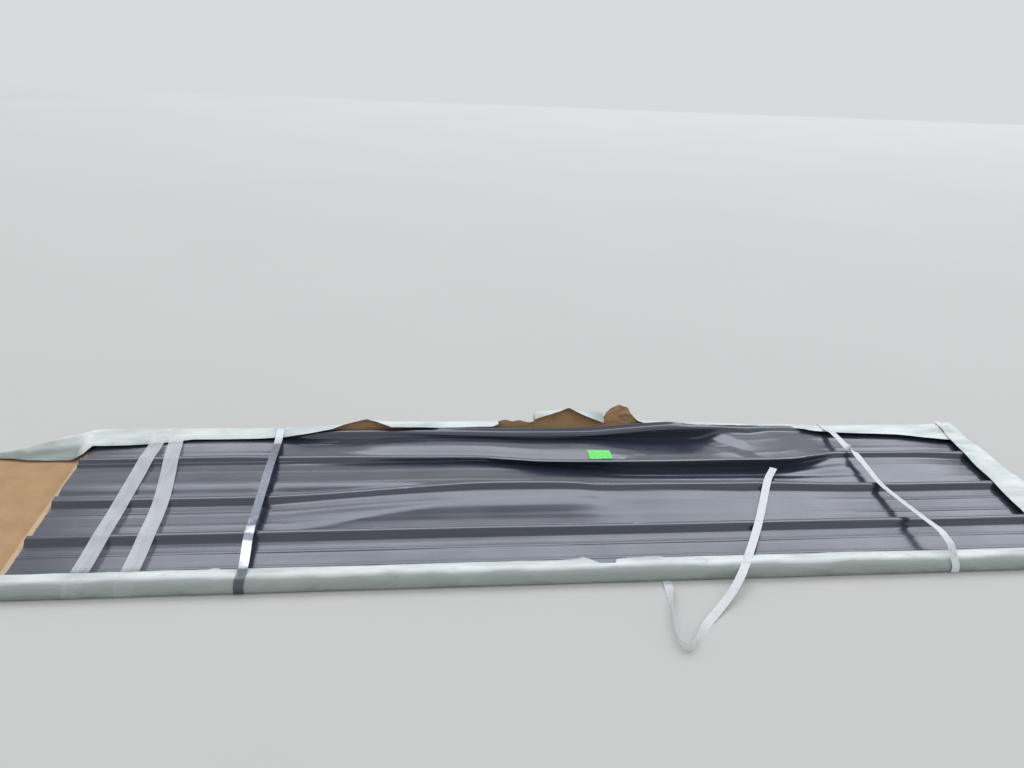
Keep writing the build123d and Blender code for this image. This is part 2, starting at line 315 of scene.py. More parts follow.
def add_grid(
    bm: Mesh,
    columns: int,
    rows: int,
    shape: Shape,
    keep: Callable[[float, float], bool] | None = None,
) -> None:
    """Adds an open sheet made from a grid to a mesh.

    Args:
        bm: The mesh.
        columns: How many cells the sheet has along its first direction.
        rows: How many cells it has along its second direction.
        shape: Gives a vertex's place from its two shares, each from 0 to 1.
        keep: Says from the shares of a cell's middle whether it stays. The last grid of a mesh may have one.
    """
    made = bmesh.ops.create_grid(bm, x_segments=columns, y_segments=rows, size=0.5)["verts"]
    if keep is not None:
        middles = {face: face.calc_center_median() for face in made[0].link_faces}
        middles |= {face: face.calc_center_median() for vertex in made for face in vertex.link_faces}
        torn = [face for face, middle in middles.items() if not keep(middle.x + 0.5, middle.y + 0.5)]
        bmesh.ops.delete(bm, geom=torn, context="FACES")
    for vertex in made:
        if vertex.is_valid:
            vertex.co = shape(vertex.co.x + 0.5, vertex.co.y + 0.5)


def strip(path: Sequence[Vector], sides: Sequence[Vector], width: float, crown: float = 0.0) -> Mesh:
    """Makes an open strip along a path.

    Args:
        path: The middle of the strip.
        sides: The direction across the strip at each point, one unit long.
        width: The strip's width.
        crown: How far the middle stands out from the edges.

    Returns:
        The mesh.
    """
    last = len(path) - 1
    runs = [(path[min(i + 1, last)] - path[max(i - 1, 0)]).normalized() for i in range(last + 1)]

    def shape(along: float, across: float) -> Vector:
        """Gives the strip's point at two shares.

        Args:
            along: The share of the path.
            across: The share of the width.

        Returns:
            The point.
        """
        index = round(along * last)
        out = runs[index].cross(sides[index])
        off = across - 0.5
        return path[index] + sides[index] * (off * width) + out * (crown * (1.0 - 4.0 * off * off))

    bm = bmesh.new()
    add_grid(bm, last, 4, shape)
    return bm


def to_linear(hex_code: str) -> tuple[float, float, float, float]:
    """Turns an sRGB colour to the linear values that a shader takes.

    Args:
        hex_code: The colour, such as "8A8D96".

    Returns:
        Its linear red, green, blue and alpha.
    """
    channels = [int(hex_code[start : start + 2], 16) / 255 for start in (0, 2, 4)]
    linear = [c / 12.92 if c <= 0.04045 else ((c + 0.055) / 1.055) ** 2.4 for c in channels]
    return (*linear, 1.0)


def feed(tree: Tree, node: bpy.types.Node, inputs: Inputs) -> None:
    """Sets or links a node's inputs.

    Args:
        tree: The node tree.
        node: The node.
        inputs: Each input's name or number, with the socket that feeds it, a hex colour or a value.
    """
    for key, value in inputs.items():
        if isinstance(value, Socket):
            tree.links.new(value, node.inputs[key])
        else:
            node.inputs[key].default_value = to_linear(value) if isinstance(value, str) else value


def add_node(
    tree: Tree, kind: Kind, inputs: Inputs | None = None, **settings: object
) -> Outputs:
    """Adds a shader node.

    Args:
        tree: The node tree.
        kind: The node's type.
        inputs: What its inputs get, as feed takes it.
        settings: The node's own settings.

    Returns:
        The node's outputs.
    """
    node = tree.nodes.new(kind.value)
    for name, value in settings.items():
        setattr(node, name, value)
    feed(tree, node, inputs or {})
    return node.outputs


def per_metre(size_mm: float) -> float:
    """Returns the texture scale at which one feature is size_mm long."""
    return 1.0 / (size_mm * MM)


@dataclass(frozen=True)
class Finish:
    """A surface finish that makes its own material."""

    name: str

    def material(self) -> Material:
        """Makes the material.

        Returns:
            The material, with its nodes made.
        """
        made = bpy.data.materials.new(self.name)
        made.use_nodes = True
        tree = made.node_tree
        add = partial(add_node, tree)
        feed(tree, tree.nodes["Principled BSDF"], self.dress(add, add(Kind.COORDS)["Object"]))
        return made

    def dress(self, add: Adder, place: Socket) -> Inputs:
        """Adds the nodes of this finish.

        Args:
            add: Adds a node to the material, as add_node does.
            place: The output that says where on the object the shaded point is.

        Returns:
            What the shader's inputs get.
        """
        raise NotImplementedError


@dataclass(frozen=True)
class Scuff:
    """A long pale rub mark, by its middle and its half length and half width."""

    x: float
    y: float
    reach: float
    half_width: float


@dataclass(frozen=True)
class PaintedSteel(Finish):
    """Coil-coated steel: a charcoal baked paint film with a satin gloss that shows the rolling direction."""

    name: str = "charcoal_coil_coated_steel"
    paint: str = "2D3341"
    faded: str = "3A404E"
    rubbed: str = "C4C7CC"
    scuffs: tuple[Scuff, ...] = (
        Scuff(-642, -217, 46, 7),
        Scuff(-43, -219, 52, 5),
        Scuff(172, -221, 22, 6),
        Scuff(126, 8, 130, 3),
        Scuff(-566, -6, 26, 4),
        Scuff(-1000, 262, 18, 7),
        Scuff(300, 240, 30, 6),
        Scuff(640, 300, 34, 10),
        Scuff(930, 10, 24, 4),
        Scuff(226, 214, 20, 9),
    )

    def scuffed(self, add: Adder, place: Socket) -> Socket:
        """Adds the nodes that say how far a place is inside one of the rub marks.

        Args:
            add: Adds a node to the material.
            place: The place on the object.

        Returns:
            The output, which is 1 in the middle of a mark and 0 outside them all.
        """
        inside = None
        for scuff in self.scuffs:
            middle = (scuff.x * MM, scuff.y * MM, 0.0)
            sizes = (per_metre(scuff.reach), per_metre(scuff.half_width), 0.0)
            offset = add(Kind.VECTOR_MATH, {0: place, 1: middle}, operation="SUBTRACT")[0]
            shares = add(Kind.VECTOR_MATH, {0: offset, 1: sizes}, operation="MULTIPLY")[0]
            away = add(Kind.VECTOR_MATH, {0: shares}, operation="LENGTH")["Value"]
            mark = add(Kind.RANGE, {"Value": away, "From Min": 1.0, "From Max": 0.3})[0]
            if inside is None:
                inside = mark
            else:
                inside = add(Kind.MATH, {0: inside, 1: mark}, operation="MAXIMUM")[0]
        return inside

    def dress(self, add: Adder, place: Socket) -> Inputs:
        """Gives the film fine lengthwise streaks, broad cloudiness and a few pale rub marks.

        Args:
            add: Adds a node to the material.
            place: The place on the object.

        Returns:
            What the shader's inputs get.
        """
        drawn = add(Kind.MAPPING, {"Vector": place, "Scale": (0.025, 1.0, 0.3)})[0]
        # The rolling streaks are drawn coarser than real ones, about 9 mm apart, so that they show
        streaks = add(
            Kind.NOISE, {"Vector": drawn, "Scale": per_metre(9.0), "Detail": 3.0, "Roughness": 0.6}
        )["Fac"]
        clouds = add(Kind.NOISE, {"Vector": place, "Scale": per_metre(180.0), "Detail": 4.0})["Fac"]
        grit = add(
            Kind.NOISE, {"Vector": place, "Scale": per_metre(5.0), "Detail": 5.0, "Roughness": 0.75}
        )["Fac"]
        fade = add(Kind.RANGE, {"Value": streaks, "From Min": 0.35, "From Max": 0.7})[0]
        film = add(Kind.MIX, {MIX_BY: fade, MIX_A: self.paint, MIX_B: self.faded}, data_type="RGBA")[MIXED]
        broken = add(Kind.RANGE, {"Value": grit, "From Min": 0.44, "From Max": 0.62})[0]
        rub = add(Kind.MATH, {0: self.scuffed(add, place), 1: broken}, operation="MULTIPLY")[0]
        colour = add(Kind.MIX, {MIX_BY: rub, MIX_A: film, MIX_B: self.rubbed}, data_type="RGBA")[MIXED]
        gloss = add(
            Kind.RANGE, {"Value": clouds, "From Min": 0.3, "From Max": 0.7, "To Min": 0.17, "To Max": 0.26}
        )[0]
        rougher = add(Kind.MATH, {0: rub, 1: 0.3, 2: gloss}, operation="MULTIPLY_ADD")[0]
        bump = add(Kind.BUMP, {"Height": streaks, "Strength": 0.12, "Distance": 0.4 * MM})[0]
        return {"Base Color": colour, "Roughness": rougher, "Normal": bump, "IOR": 1.75}


@dataclass(frozen=True)
class CoatedPaper(Finish):
    """The outer side of coated kraft paper: a pale grey-green film, soft, creased, dirty near the ground, with
    painted shade low down and on the near wall.
    """

    name: str = "coated_wrapping_paper"
    clean: str = "E6ECE9"
    # The shaded colour is both a random tone of the film and its painted shade
    shaded: str = "97A19C"
    dirt: str = "7C817D"

    def dress(self, add: Adder, place: Socket) -> Inputs:
        """Gives the film clouds of tone, smudges that grow towards the ground, painted shade low down and on the
        near wall, and small creases.

        Args:
            add: Adds a node to the material.
            place: The place on the object.

        Returns:
            What the shader's inputs get.
        """
        drawn = add(Kind.MAPPING, {"Vector": place, "Scale": (0.35, 1.0, 1.0)})[0]
        clouds = add(Kind.NOISE, {"Vector": drawn, "Scale": per_metre(60.0), "Detail": 5.0})["Fac"]
        smudges = add(
            Kind.NOISE,
            {"Vector": drawn, "Scale": per_metre(38.0), "Detail": 6.0, "Roughness": 0.65, "Distortion": 0.6},
        )["Fac"]
        axes = add(Kind.SPLIT, {0: place})
        low = add(Kind.RANGE, {"Value": axes["Z"], "From Min": 26 * MM, "From Max": 4 * MM, "To Max": 0.24})[0]
        amount = add(Kind.MATH, {0: smudges, 1: low}, operation="ADD")[0]
        smudge = add(Kind.RANGE, {"Value": amount, "From Min": 0.58, "From Max": 0.82, "To Max": 0.75})[0]
        tone = add(Kind.RANGE, {"Value": clouds, "From Min": 0.38, "From Max": 0.68})[0]
        # Painted shade: the paper is darker towards the ground
        low_shade = add(
            Kind.RANGE, {"Value": axes["Z"], "From Min": 32 * MM, "From Max": 8 * MM, "To Max": 1.6}
        )[0]
        # Painted shade: the near wall is darker from its rounded top down
        near_wall_shade = add(
            Kind.RANGE, {"Value": axes["Y"], "From Min": -448 * MM, "From Max": -472 * MM, "To Max": 0.95}
        )[0]
        shade = add(Kind.MATH, {0: low_shade, 1: near_wall_shade}, operation="MAXIMUM")[0]
        grey = add(Kind.MATH, {0: tone, 1: 0.5, 2: shade}, operation="MULTIPLY_ADD")[0]
        film = add(Kind.MIX, {MIX_BY: grey, MIX_A: self.clean, MIX_B: self.shaded}, data_type="RGBA")[MIXED]
        colour = add(Kind.MIX, {MIX_BY: smudge, MIX_A: film, MIX_B: self.dirt}, data_type="RGBA")[MIXED]
        # Handling creases are about 25 mm apart
        creases = add(
            Kind.VORONOI, {"Vector": drawn, "Scale": per_metre(25.0)}, feature="DISTANCE_TO_EDGE"
        )["Distance"]
        crease = add(Kind.RANGE, {"Value": creases, "From Max": 0.12})[0]
        fine = add(Kind.NOISE, {"Vector": place, "Scale": per_metre(7.0), "Detail": 4.0})["Fac"]
        relief = add(Kind.MATH, {0: fine, 1: 0.5, 2: crease}, operation="MULTIPLY_ADD")[0]
        bump = add(Kind.BUMP, {"Height": relief, "Strength": 0.35, "Distance": 0.5 * MM})[0]
        return {"Base Color": colour, "Normal": bump, "Roughness": 0.46, "IOR": 1.48}


@dataclass(frozen=True)
class KraftPaper(Finish):
    """The inner side of the paper: bare brown kraft with fibres and blotches, matt."""

    name: str = "bare_kraft_paper"
    fibre: str = "BB9870"
    light: str = "CFAD84"
    deep: str = "AD8A65"
    # pale is the colour of the painted highlight along the crease at the sheets' end
    pale: str = "DCC3A2"
    edge_x: float = -1690.0

    def dress(self, add: Adder, place: Socket) -> Inputs:
        """Gives the paper fibres, blotches and a painted highlight: a paler band along the crease at the sheets'
        ends.

        Args:
            add: Adds a node to the material.
            place: The place on the object.

        Returns:
            What the shader's inputs get.
        """
        fibres = add(
            Kind.NOISE, {"Vector": place, "Scale": per_metre(3.0), "Detail": 6.0, "Roughness": 0.7}
        )["Fac"]
        blotches = add(Kind.NOISE, {"Vector": place, "Scale": per_metre(75.0), "Detail": 4.0})["Fac"]
        along = add(Kind.SPLIT, {0: place})["X"]
        # Painted highlight: a paler band along the crease at the sheets' left end
        away = add(Kind.MATH, {0: along, 1: self.edge_x * MM}, operation="SUBTRACT")[0]
        gap = add(Kind.MATH, {0: away}, operation="ABSOLUTE")[0]
        band = add(Kind.RANGE, {"Value": gap, "From Min": 20 * MM, "From Max": 10 * MM, "To Max": 0.8})[0]
        tone = add(Kind.RANGE, {"Value": blotches, "From Min": 0.35, "From Max": 0.65})[0]
        ground = add(Kind.MIX, {MIX_BY: tone, MIX_A: self.fibre, MIX_B: self.deep}, data_type="RGBA")[MIXED]
        speck = add(Kind.RANGE, {"Value": fibres, "From Min": 0.45, "From Max": 0.7, "To Max": 0.55})[0]
        paper = add(Kind.MIX, {MIX_BY: speck, MIX_A: ground, MIX_B: self.light}, data_type="RGBA")[MIXED]
        colour = add(Kind.MIX, {MIX_BY: band, MIX_A: paper, MIX_B: self.pale}, data_type="RGBA")[MIXED]
        bump = add(Kind.BUMP, {"Height": fibres, "Strength": 0.3, "Distance": 0.4 * MM})[0]
        return {"Base Color": colour, "Normal": bump, "Roughness": 0.85, "Specular IOR Level": 0.3}


@dataclass(frozen=True)
class FilmTape(Finish):
    """Polypropylene packing tape: a milky film that lets the dark sheets show through a little."""

    name: str = "polypropylene_film_tape"
    milk: str = "F8FAFB"
    stretched: str = "E2E5E9"
    free: float = 0.37
    stuck: float = 0.06

    def dress(self, add: Adder, place: Socket) -> Inputs:
        """Gives the film fine drawn lines across the bundle and patches where it isn't stuck down.

        Args:
            add: Adds a node to the material.
            place: The place on the object.

        Returns:
            What the shader's inputs get.
        """
        drawn = add(Kind.MAPPING, {"Vector": place, "Scale": (1.0, 0.06, 0.2)})[0]
        lines = add(Kind.NOISE, {"Vector": drawn, "Scale": per_metre(7.0), "Detail": 4.0})["Fac"]
        patches = add(Kind.NOISE, {"Vector": place, "Scale": per_metre(80.0), "Detail": 3.0})["Fac"]
        both = add(Kind.MATH, {0: lines, 1: patches}, operation="MULTIPLY")[0]
        tone = add(Kind.RANGE, {"Value": both, "From Min": 0.15, "From Max": 0.4})[0]
        colour = add(Kind.MIX, {MIX_BY: tone, MIX_A: self.milk, MIX_B: self.stretched}, data_type="RGBA")[MIXED]
        bump = add(Kind.BUMP, {"Height": lines, "Strength": 0.3, "Distance": 0.3 * MM})[0]
        across = add(Kind.SPLIT, {0: place})["Y"]
        out = add(Kind.MATH, {0: across}, operation="ABSOLUTE")[0]
        # Film that is stuck down to the paper is clear, and free film is milky
        haze = add(
            Kind.RANGE,
            {"Value": out, "From Min": 388 * MM, "From Max": 424 * MM, "To Min": self.free, "To Max": self.stuck},
        )[0]
        return {"Base Color": colour, "Normal": bump, "Alpha": haze, "Roughness": 0.35, "IOR": 1.49}


@dataclass(frozen=True)
class StrapSteel(Finish):
    """Galvanised cold-rolled steel strapping with a faint zinc spangle, painted highlights on some stretches and
    painted shade down the near side.
    """

    name: str = "galvanised_strapping_steel"
    # bright is the colour of the painted highlights, and rubbed the colour of the painted shade down the near
    # side
    bright: str = "C4C8CD"
    dull: str = "74787F"
    rubbed: str = "5E6468"

    def dress(self, add: Adder, place: Socket) -> Inputs:
        """Gives the band painted highlights on some stretches, a faint zinc spangle, fine scratches and painted
        shade down the near side.

        Args:
            add: Adds a node to the material.
            place: The place on the object.

        Returns:
            What the shader's inputs get.
        """
        across = add(Kind.SPLIT, {0: place})["Y"]
        # Where the painted highlight of the near stretch, the painted shade down the near side and the painted
        # highlight of the far stretch begin
        near, edge, far = (
            add(Kind.RANGE, {"Value": across, "From Min": start * MM, "From Max": end * MM})[0]
            for start, end in ((-303, -311), (-418, -433), (322, 342))
        )
        # A painted highlight on a short patch of the band
        centre = add(Kind.MATH, {0: across, 1: 247 * MM}, operation="ADD")[0]
        gap = add(Kind.MATH, {0: centre}, operation="ABSOLUTE")[0]
        patch = add(Kind.RANGE, {"Value": gap, "From Min": 22 * MM, "From Max": 16 * MM})[0]
        ends = add(Kind.MATH, {0: near, 1: far}, operation="MAXIMUM")[0]
        painted_highlight = add(Kind.MATH, {0: ends, 1: patch}, operation="MAXIMUM")[0]
        spangle = add(Kind.VORONOI, {"Vector": place, "Scale": per_metre(9.0)}, feature="F1")["Color"]
        zinc = add(Kind.SPLIT, {0: spangle})["X"]
        mottle = add(Kind.RANGE, {"Value": zinc, "To Min": -0.1, "To Max": 0.1})[0]
        amount = add(Kind.MATH, {0: painted_highlight, 1: mottle}, operation="ADD", use_clamp=True)[0]
        band = add(Kind.MIX, {MIX_BY: amount, MIX_A: self.dull, MIX_B: self.bright}, data_type="RGBA")[MIXED]
        # Painted shade down the near side
        colour = add(Kind.MIX, {MIX_BY: edge, MIX_A: band, MIX_B: self.rubbed}, data_type="RGBA")[MIXED]
        drawn = add(Kind.MAPPING, {"Vector": place, "Scale": (1.0, 0.04, 0.1)})[0]
        scratches = add(Kind.NOISE, {"Vector": drawn, "Scale": per_metre(2.5), "Detail": 3.0})["Fac"]
        gloss = add(
            Kind.RANGE, {"Value": scratches, "From Min": 0.3, "From Max": 0.7, "To Min": 0.3, "To Max": 0.5}
        )[0]
        bump = add(Kind.BUMP, {"Height": scratches, "Strength": 0.15, "Distance": 0.2 * MM})[0]
        return {"Base Color": colour, "Roughness": gloss, "Normal": bump, "Metallic": 1.0}


@dataclass(frozen=True)
class SealSteel(Finish):
    """The seal's crimped steel: darker and duller than the band, with paler rubbed patches."""

    name: str = "blackened_seal_steel"
    dark: str = "5A5D63"
    rubbed: str = "8D9096"

    def dress(self, add: Adder, place: Socket) -> Inputs:
        """Gives the steel a patchy oxide skin.

        Args:
            add: Adds a node to the material.
            place: The place on the object.

        Returns:
            What the shader's inputs get.
        """
        skin = add(Kind.NOISE, {"Vector": place, "Scale": per_metre(6.0), "Detail": 5.0})["Fac"]
        tone = add(Kind.RANGE, {"Value": skin, "From Min": 0.4, "From Max": 0.65})[0]
        colour = add(Kind.MIX, {MIX_BY: tone, MIX_A: self.dark, MIX_B: self.rubbed}, data_type="RGBA")[MIXED]
        return {"Base Color": colour, "Metallic": 1.0, "Roughness": 0.48}


@dataclass(frozen=True)
class WhiteStrapPaint(Finish):
    """White enamelled strapping: a smooth satin paint with patches of grey rub."""

    name: str = "white_enamelled_strapping"
    enamel: str = "DCDFE0"
    rubbed: str = "A3A7AA"

    def dress(self, add: Adder, place: Socket) -> Inputs:
        """Gives the enamel patches of grey rub and a faint grain.

        Args:
            add: Adds a node to the material.
            place: The place on the object.

        Returns:
            What the shader's inputs get.
        """
        rubs = add(
            Kind.NOISE, {"Vector": place, "Scale": per_metre(14.0), "Detail": 6.0, "Roughness": 0.7}
        )["Fac"]
        tone = add(Kind.RANGE, {"Value": rubs, "From Min": 0.52, "From Max": 0.75, "To Max": 0.8})[0]
        colour = add(Kind.MIX, {MIX_BY: tone, MIX_A: self.enamel, MIX_B: self.rubbed}, data_type="RGBA")[MIXED]
        bump = add(Kind.BUMP, {"Height": rubs, "Strength": 0.15, "Distance": 0.3 * MM})[0]
        return {"Base Color": colour, "Normal": bump, "Roughness": 0.4, "IOR": 1.5}


@dataclass(frozen=True)
class FluorescentSticker(Finish):
    """A fluorescent green paper sticker, bare, with worn pale spots."""

    name: str = "fluorescent_green_sticker"
    dye: str = "5FEA62"
    worn: str = "A6F0A0"

    def dress(self, add: Adder, place: Socket) -> Inputs:
        """Gives the dye worn spots.

        Args:
            add: Adds a node to the material.
            place: The place on the object.

        Returns:
            What the shader's inputs get.
        """
        spots = add(Kind.NOISE, {"Vector": place, "Scale": per_metre(9.0), "Detail": 5.0})["Fac"]
        tone = add(Kind.RANGE, {"Value": spots, "From Min": 0.5, "From Max": 0.7, "To Max": 0.8})[0]
        colour = add(Kind.MIX, {MIX_BY: tone, MIX_A: self.dye, MIX_B: self.worn}, data_type="RGBA")[MIXED]
        return {"Base Color": colour, "Roughness": 0.5}


@dataclass(frozen=True)
class StudioPaper(Finish):
    """The studio's pale matt floor."""

    name: str = "studio_floor"
    tone: str = "D2D0CC"
    shade: str = "CDCBC7"

    def dress(self, add: Adder, place: Socket) -> Inputs:
        """Gives the floor a plain matt colour with a barely uneven tone.

        Args:
            add: Adds a node to the material.
            place: The place on the object.

        Returns:
            What the shader's inputs get.
        """
        drift = add(Kind.NOISE, {"Vector": place, "Scale": 0.7, "Detail": 2.0})["Fac"]
        colour = add(Kind.MIX, {MIX_BY: drift, MIX_A: self.tone, MIX_B: self.shade}, data_type="RGBA")[MIXED]
        return {"Base Color": colour, "Roughness": 0.95, "Specular IOR Level": 0.1}


@dataclass(frozen=True)
class Profile:
    """The rolled section of one roofing sheet."""

    rib_count: int = 5
    pitch: float = 228.6
    rib_height: float = 19.0
    rib_top: float = 19.0
    rib_foot: float = 48.0
    beads_per_pan: int = 2
    bead_height: float = 0.5
    bead_top: float = 5.0
    bead_foot: float = 27.0
    thickness: float = 0.45
    bend: float = 2.4
    rib_bend: float = 4.5

    @property
    def edge_rib(self) -> float:
        """The place of the outermost rib."""
        return (self.rib_count - 1) / 2 * self.pitch

    @property
    def half_width(self) -> float:
        """Half the sheet's width."""
        return self.edge_rib + self.rib_foot / 2

    def raised(self, centre: float, foot: float, top: float, height: float) -> list[Point]:
        """Gives the corners of a rib or bead.

        Args:
            centre: Its middle across the sheet.
            foot: Its width at the foot.
            top: Its width at the top.
            height: Its height.

        Returns:
            Its four corners.
        """
        return [
            (centre - foot / 2, 0.0),
            (centre - top / 2, height),
            (centre + top / 2, height),
            (centre + foot / 2, 0.0),
        ]

    def line(self) -> list[Point]:
        """Gives the section's corners.

        Returns:
            The corners from the near edge to the far one, with the pans at height 0.
        """
        corners = []
        for index in range(self.rib_count):
            centre = index * self.pitch - self.edge_rib
            corners += self.raised(centre, self.rib_foot, self.rib_top, self.rib_height)
            if index < self.rib_count - 1:
                for bead in range(1, self.beads_per_pan + 1):
                    place = centre + bead * self.pitch / (self.beads_per_pan + 1)
                    corners += self.raised(place, self.bead_foot, self.bead_top, self.bead_height)
        return corners

    def on_rib(self, across: float) -> bool:
        """Says whether a place is on a rib or at its foot."""
        from_rib = (across + self.edge_rib + self.pitch / 2) % self.pitch - self.pitch / 2
        return abs(from_rib) < self.rib_foot / 2 + 1

    def height(self, across: float) -> float:
        """Gives the flat sheet's height above its pans.

        Args:
            across: The place across the flat sheet.

        Returns:
            The height there, or 0 beyond the edges.
        """
        corners = self.line()
        for (start, low), (end, high) in zip(corners, corners[1:]):
            if start <= across <= end:
                return low + (across - start) / (end - start) * (high - low)
        return 0.0


PROFILE = Profile()
TOP_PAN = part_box("top_sheet")[0].z / MM + PROFILE.thickness


@dataclass(frozen=True)
class Crease:
    """A straight crease pressed into the sheet, with a plane facet on either side."""

    start: Point
    end: Point
    reach: float
    rise: float

    def depth_at(self, x: float, across: float) -> float:
        """Gives how far the crease lifts the sheet.

        Args:
            x: The place along the sheet.
            across: The place across the flat sheet.

        Returns:
            The lift there, which is below 0 for a crease pressed down.
        """
        start, end, place = Vector(self.start), Vector(self.end), Vector((x, across))
        run = end - start
        share = (place - start).dot(run) / run.length_squared
        gap = (start + run * min(1.0, max(0.0, share)) - place).length
        return self.rise * max(0.0, 1.0 - gap / self.reach)


@dataclass(frozen=True)
class Swell:
    """A long low wave along the sheet: its height, its middle and reach across, and where it comes and goes."""

    height: float
    middle: float
    reach: float
    comes: Point
    goes: Point
    sway: float = 0.0
    sway_run: float = 400.0

    def lift_at(self, x: float, across: float) -> float:
        """Gives how far the wave lifts the sheet.

        Args:
            x: The place along the sheet.
            across: The place across the flat sheet.

        Returns:
            The lift there.
        """
        middle = self.middle + self.sway * math.sin(x / self.sway_run)
        there = between(*self.comes, x) * (1 - between(*self.goes, x))
        return self.height * hump(across, middle, self.reach) * there


@dataclass(frozen=True)
class Patch:
    """A soft-edged patch of the sheet, by its middle, its half length, its half width and its strength."""

    x: float
    across: float
    reach: float
    half_width: float
    strength: float = 1.0

    def at(self, x: float, across: float) -> float:
        """Returns how strong the patch is at a place."""
        return self.strength * hump(x, self.x, self.reach) * hump(across, self.across, self.half_width)


@dataclass(frozen=True)
class Buckle:
    """How the top sheet has risen and moved, by its place along the bundle."""

    near_rise: Track = Track(((-1676, 2), (-1238, 3), (-335, 3), (-145, 2), (245, 1), (1068, 0)))
    middle_rise: Track = Track((
        (-1006, 0), (-880, 2), (-715, 9), (-517, 22), (-316, 33), (-112, 32),
        (0, 28), (97, 19), (308, 17), (524, 15), (690, 14), (780, 11), (967, 4), (1194, 0),
    ))
    middle_shift: Track = Track(((-1676, -14), (-1101, -15), (-909, -10), (-715, -3), (-517, 0)))
    middle_foot: Track = Track(
        ((-1006, 0), (-909, 5), (-715, 8), (-400, 5), (-112, 5), (308, 8), (450, 5), (600, 0))
    )
    foot_rise: Track = Track((
        (-1676, 11), (-1100, 12), (-933, 12), (-725, 14), (-513, 18), (-298, 19), (-180, 16), (-78, 11),
        (67, 4), (788, 2), (900, 8), (1010, 15), (1150, 14), (1420, 10), (1560, 0),
    ))
    foot_shift: Track = Track((
        (-1676, 15), (-1100, 16), (-933, 12), (-725, 6), (-513, 2), (-298, 0), (-78, -8),
        (67, -20), (240, -45), (503, -48), (788, -40), (939, -22), (1023, -4), (1140, 0),
    ))
    beyond_rise: Track = Track((
        (-1676, 8), (-1138, 10), (-1028, 8), (-933, 9), (-725, 14), (-513, 18), (-298, 20),
        (-78, 22), (372, 22), (603, 24), (838, 25), (950, 19), (1077, 9), (1321, 6), (1440, 5), (1560, 0),
    ))
    beyond_shift: Track = Track((
        (-1676, 15), (-1138, 17), (-933, 12), (-725, 0), (-513, -14), (-298, -24), (-180, -44),
        (-78, -61), (145, -69), (603, -71), (838, -70), (950, -40), (1040, -8), (1140, 0),
    ))
    edge_foot_rise: Track = Track((
        (-1676, 0), (-1500, 5), (-1380, 7), (-1060, 7), (-980, 0), (-900, -3), (-760, 0),
        (-671, 8), (-469, 16), (-250, 18), (-80, 16), (130, 14), (240, 10), (430, 6),
        (560, 8), (625, 25), (700, 28), (788, 26), (939, 18), (1023, 10), (1120, 7), (1420, 7), (1560, 0),
    ))
    edge_foot_shift: Track = Track((
        (-900, 0), (-671, -8), (-469, -24), (-250, -38), (-80, -46), (130, -44),
        (503, -44), (671, -40), (788, -30), (939, -8), (1023, 0),
    ))
    edge_rise: Track = Track((
        (-900, 0), (-671, 6), (-469, 10), (-250, 12), (-80, 14), (130, 16), (240, 24), (340, 32),
        (430, 38), (503, 40), (620, 34), (700, 26), (788, 18), (939, 8), (1023, 0),
    ))
    edge_shift: Track = Track((
        (-900, 0), (-671, -14), (-469, -38), (-250, -60), (-80, -71), (130, -75), (240, -74),
        (340, -72), (430, -70), (520, -66), (671, -46), (788, -32), (939, -8), (1023, 0),
    ))
    edge_curl: Track = Track(((-900, 0), (-671, 12), (-469, 26), (-250, 33), (430, 33), (560, 16), (700, 0)))
    ripple: float = 0.5
    crumple: float = 0.15
    climb: float = 0.25
    knee: float = 25.0
    # At the left the pan before the middle rib climbs to a knee, and here that becomes one even slope
    climb_turns: Point = (-60, 200)
    # Beyond the middle rib the change of height is a step at the foot, at the left of this stretch
    step_starts: Point = (0, -260)
    step_across: Point = (-4, 30)
    near_foot_share: float = 0.8
    curl_on_top: float = 0.25
    # The far foot of the fourth rib is held down at both ends of the buckled stretch
    held_share: float = 0.2
    freed_share: float = 0.7
    freed_left: Point = (-1060, -960)
    freed_right: Point = (1080, 980)
    strap_reach: float = 40.0
    quiet_edge: float = 60.0
    swells: tuple[Swell, ...] = (
        Swell(1.0, -95, 46, (-1000, -760), (150, 520), sway=22),
        Swell(-1.0, -156, 44, (-980, -700), (-150, 250)),
        Swell(9.0, 343, 82, (-900, -600), (100, 350)),
        Swell(1.0, 95, 60, (-40, 160), (880, 1040)),
    )
    waves: Swell = Swell(2.2, 120, 75, (-150, 150), (1000, 1150))
    wave_width: float = 13.0
    wave_run: float = 260.0
    crushed: tuple[Patch, ...] = (Patch(690, 335, 330, 95), Patch(930, 300, 170, 120, 0.7))
    kinked: Patch = Patch(640, 70, 420, 80, 0.5)
    creases: tuple[Crease, ...] = (
        Crease((590, 425), (700, 330), 52, -6),
        Crease((668, 430), (690, 300), 46, 2),
        Crease((776, 425), (742, 300), 60, -4),
        Crease((870, 420), (930, 290), 70, 2),
    )

    def climbed(self, done: float, whole: float, rise: float) -> float:
        """Gives the share of a pan's rise that is reached part of the way across it.

        The pan climbs at one even slope to a knee and goes on gently from there.

        Args:
            done: How much of the pan's width has been crossed.
            whole: The pan's width.
            rise: How far the pan rises in all.

        Returns:
            The share, from 0 to 1.
        """
        if rise < 1.0:
            return done / whole
        knee = min(self.knee, 0.9 * rise)
        reach = knee / self.climb
        if done < reach:
            return done * self.climb / rise
        return (knee + (rise - knee) * (done - reach) / (whole - reach)) / rise

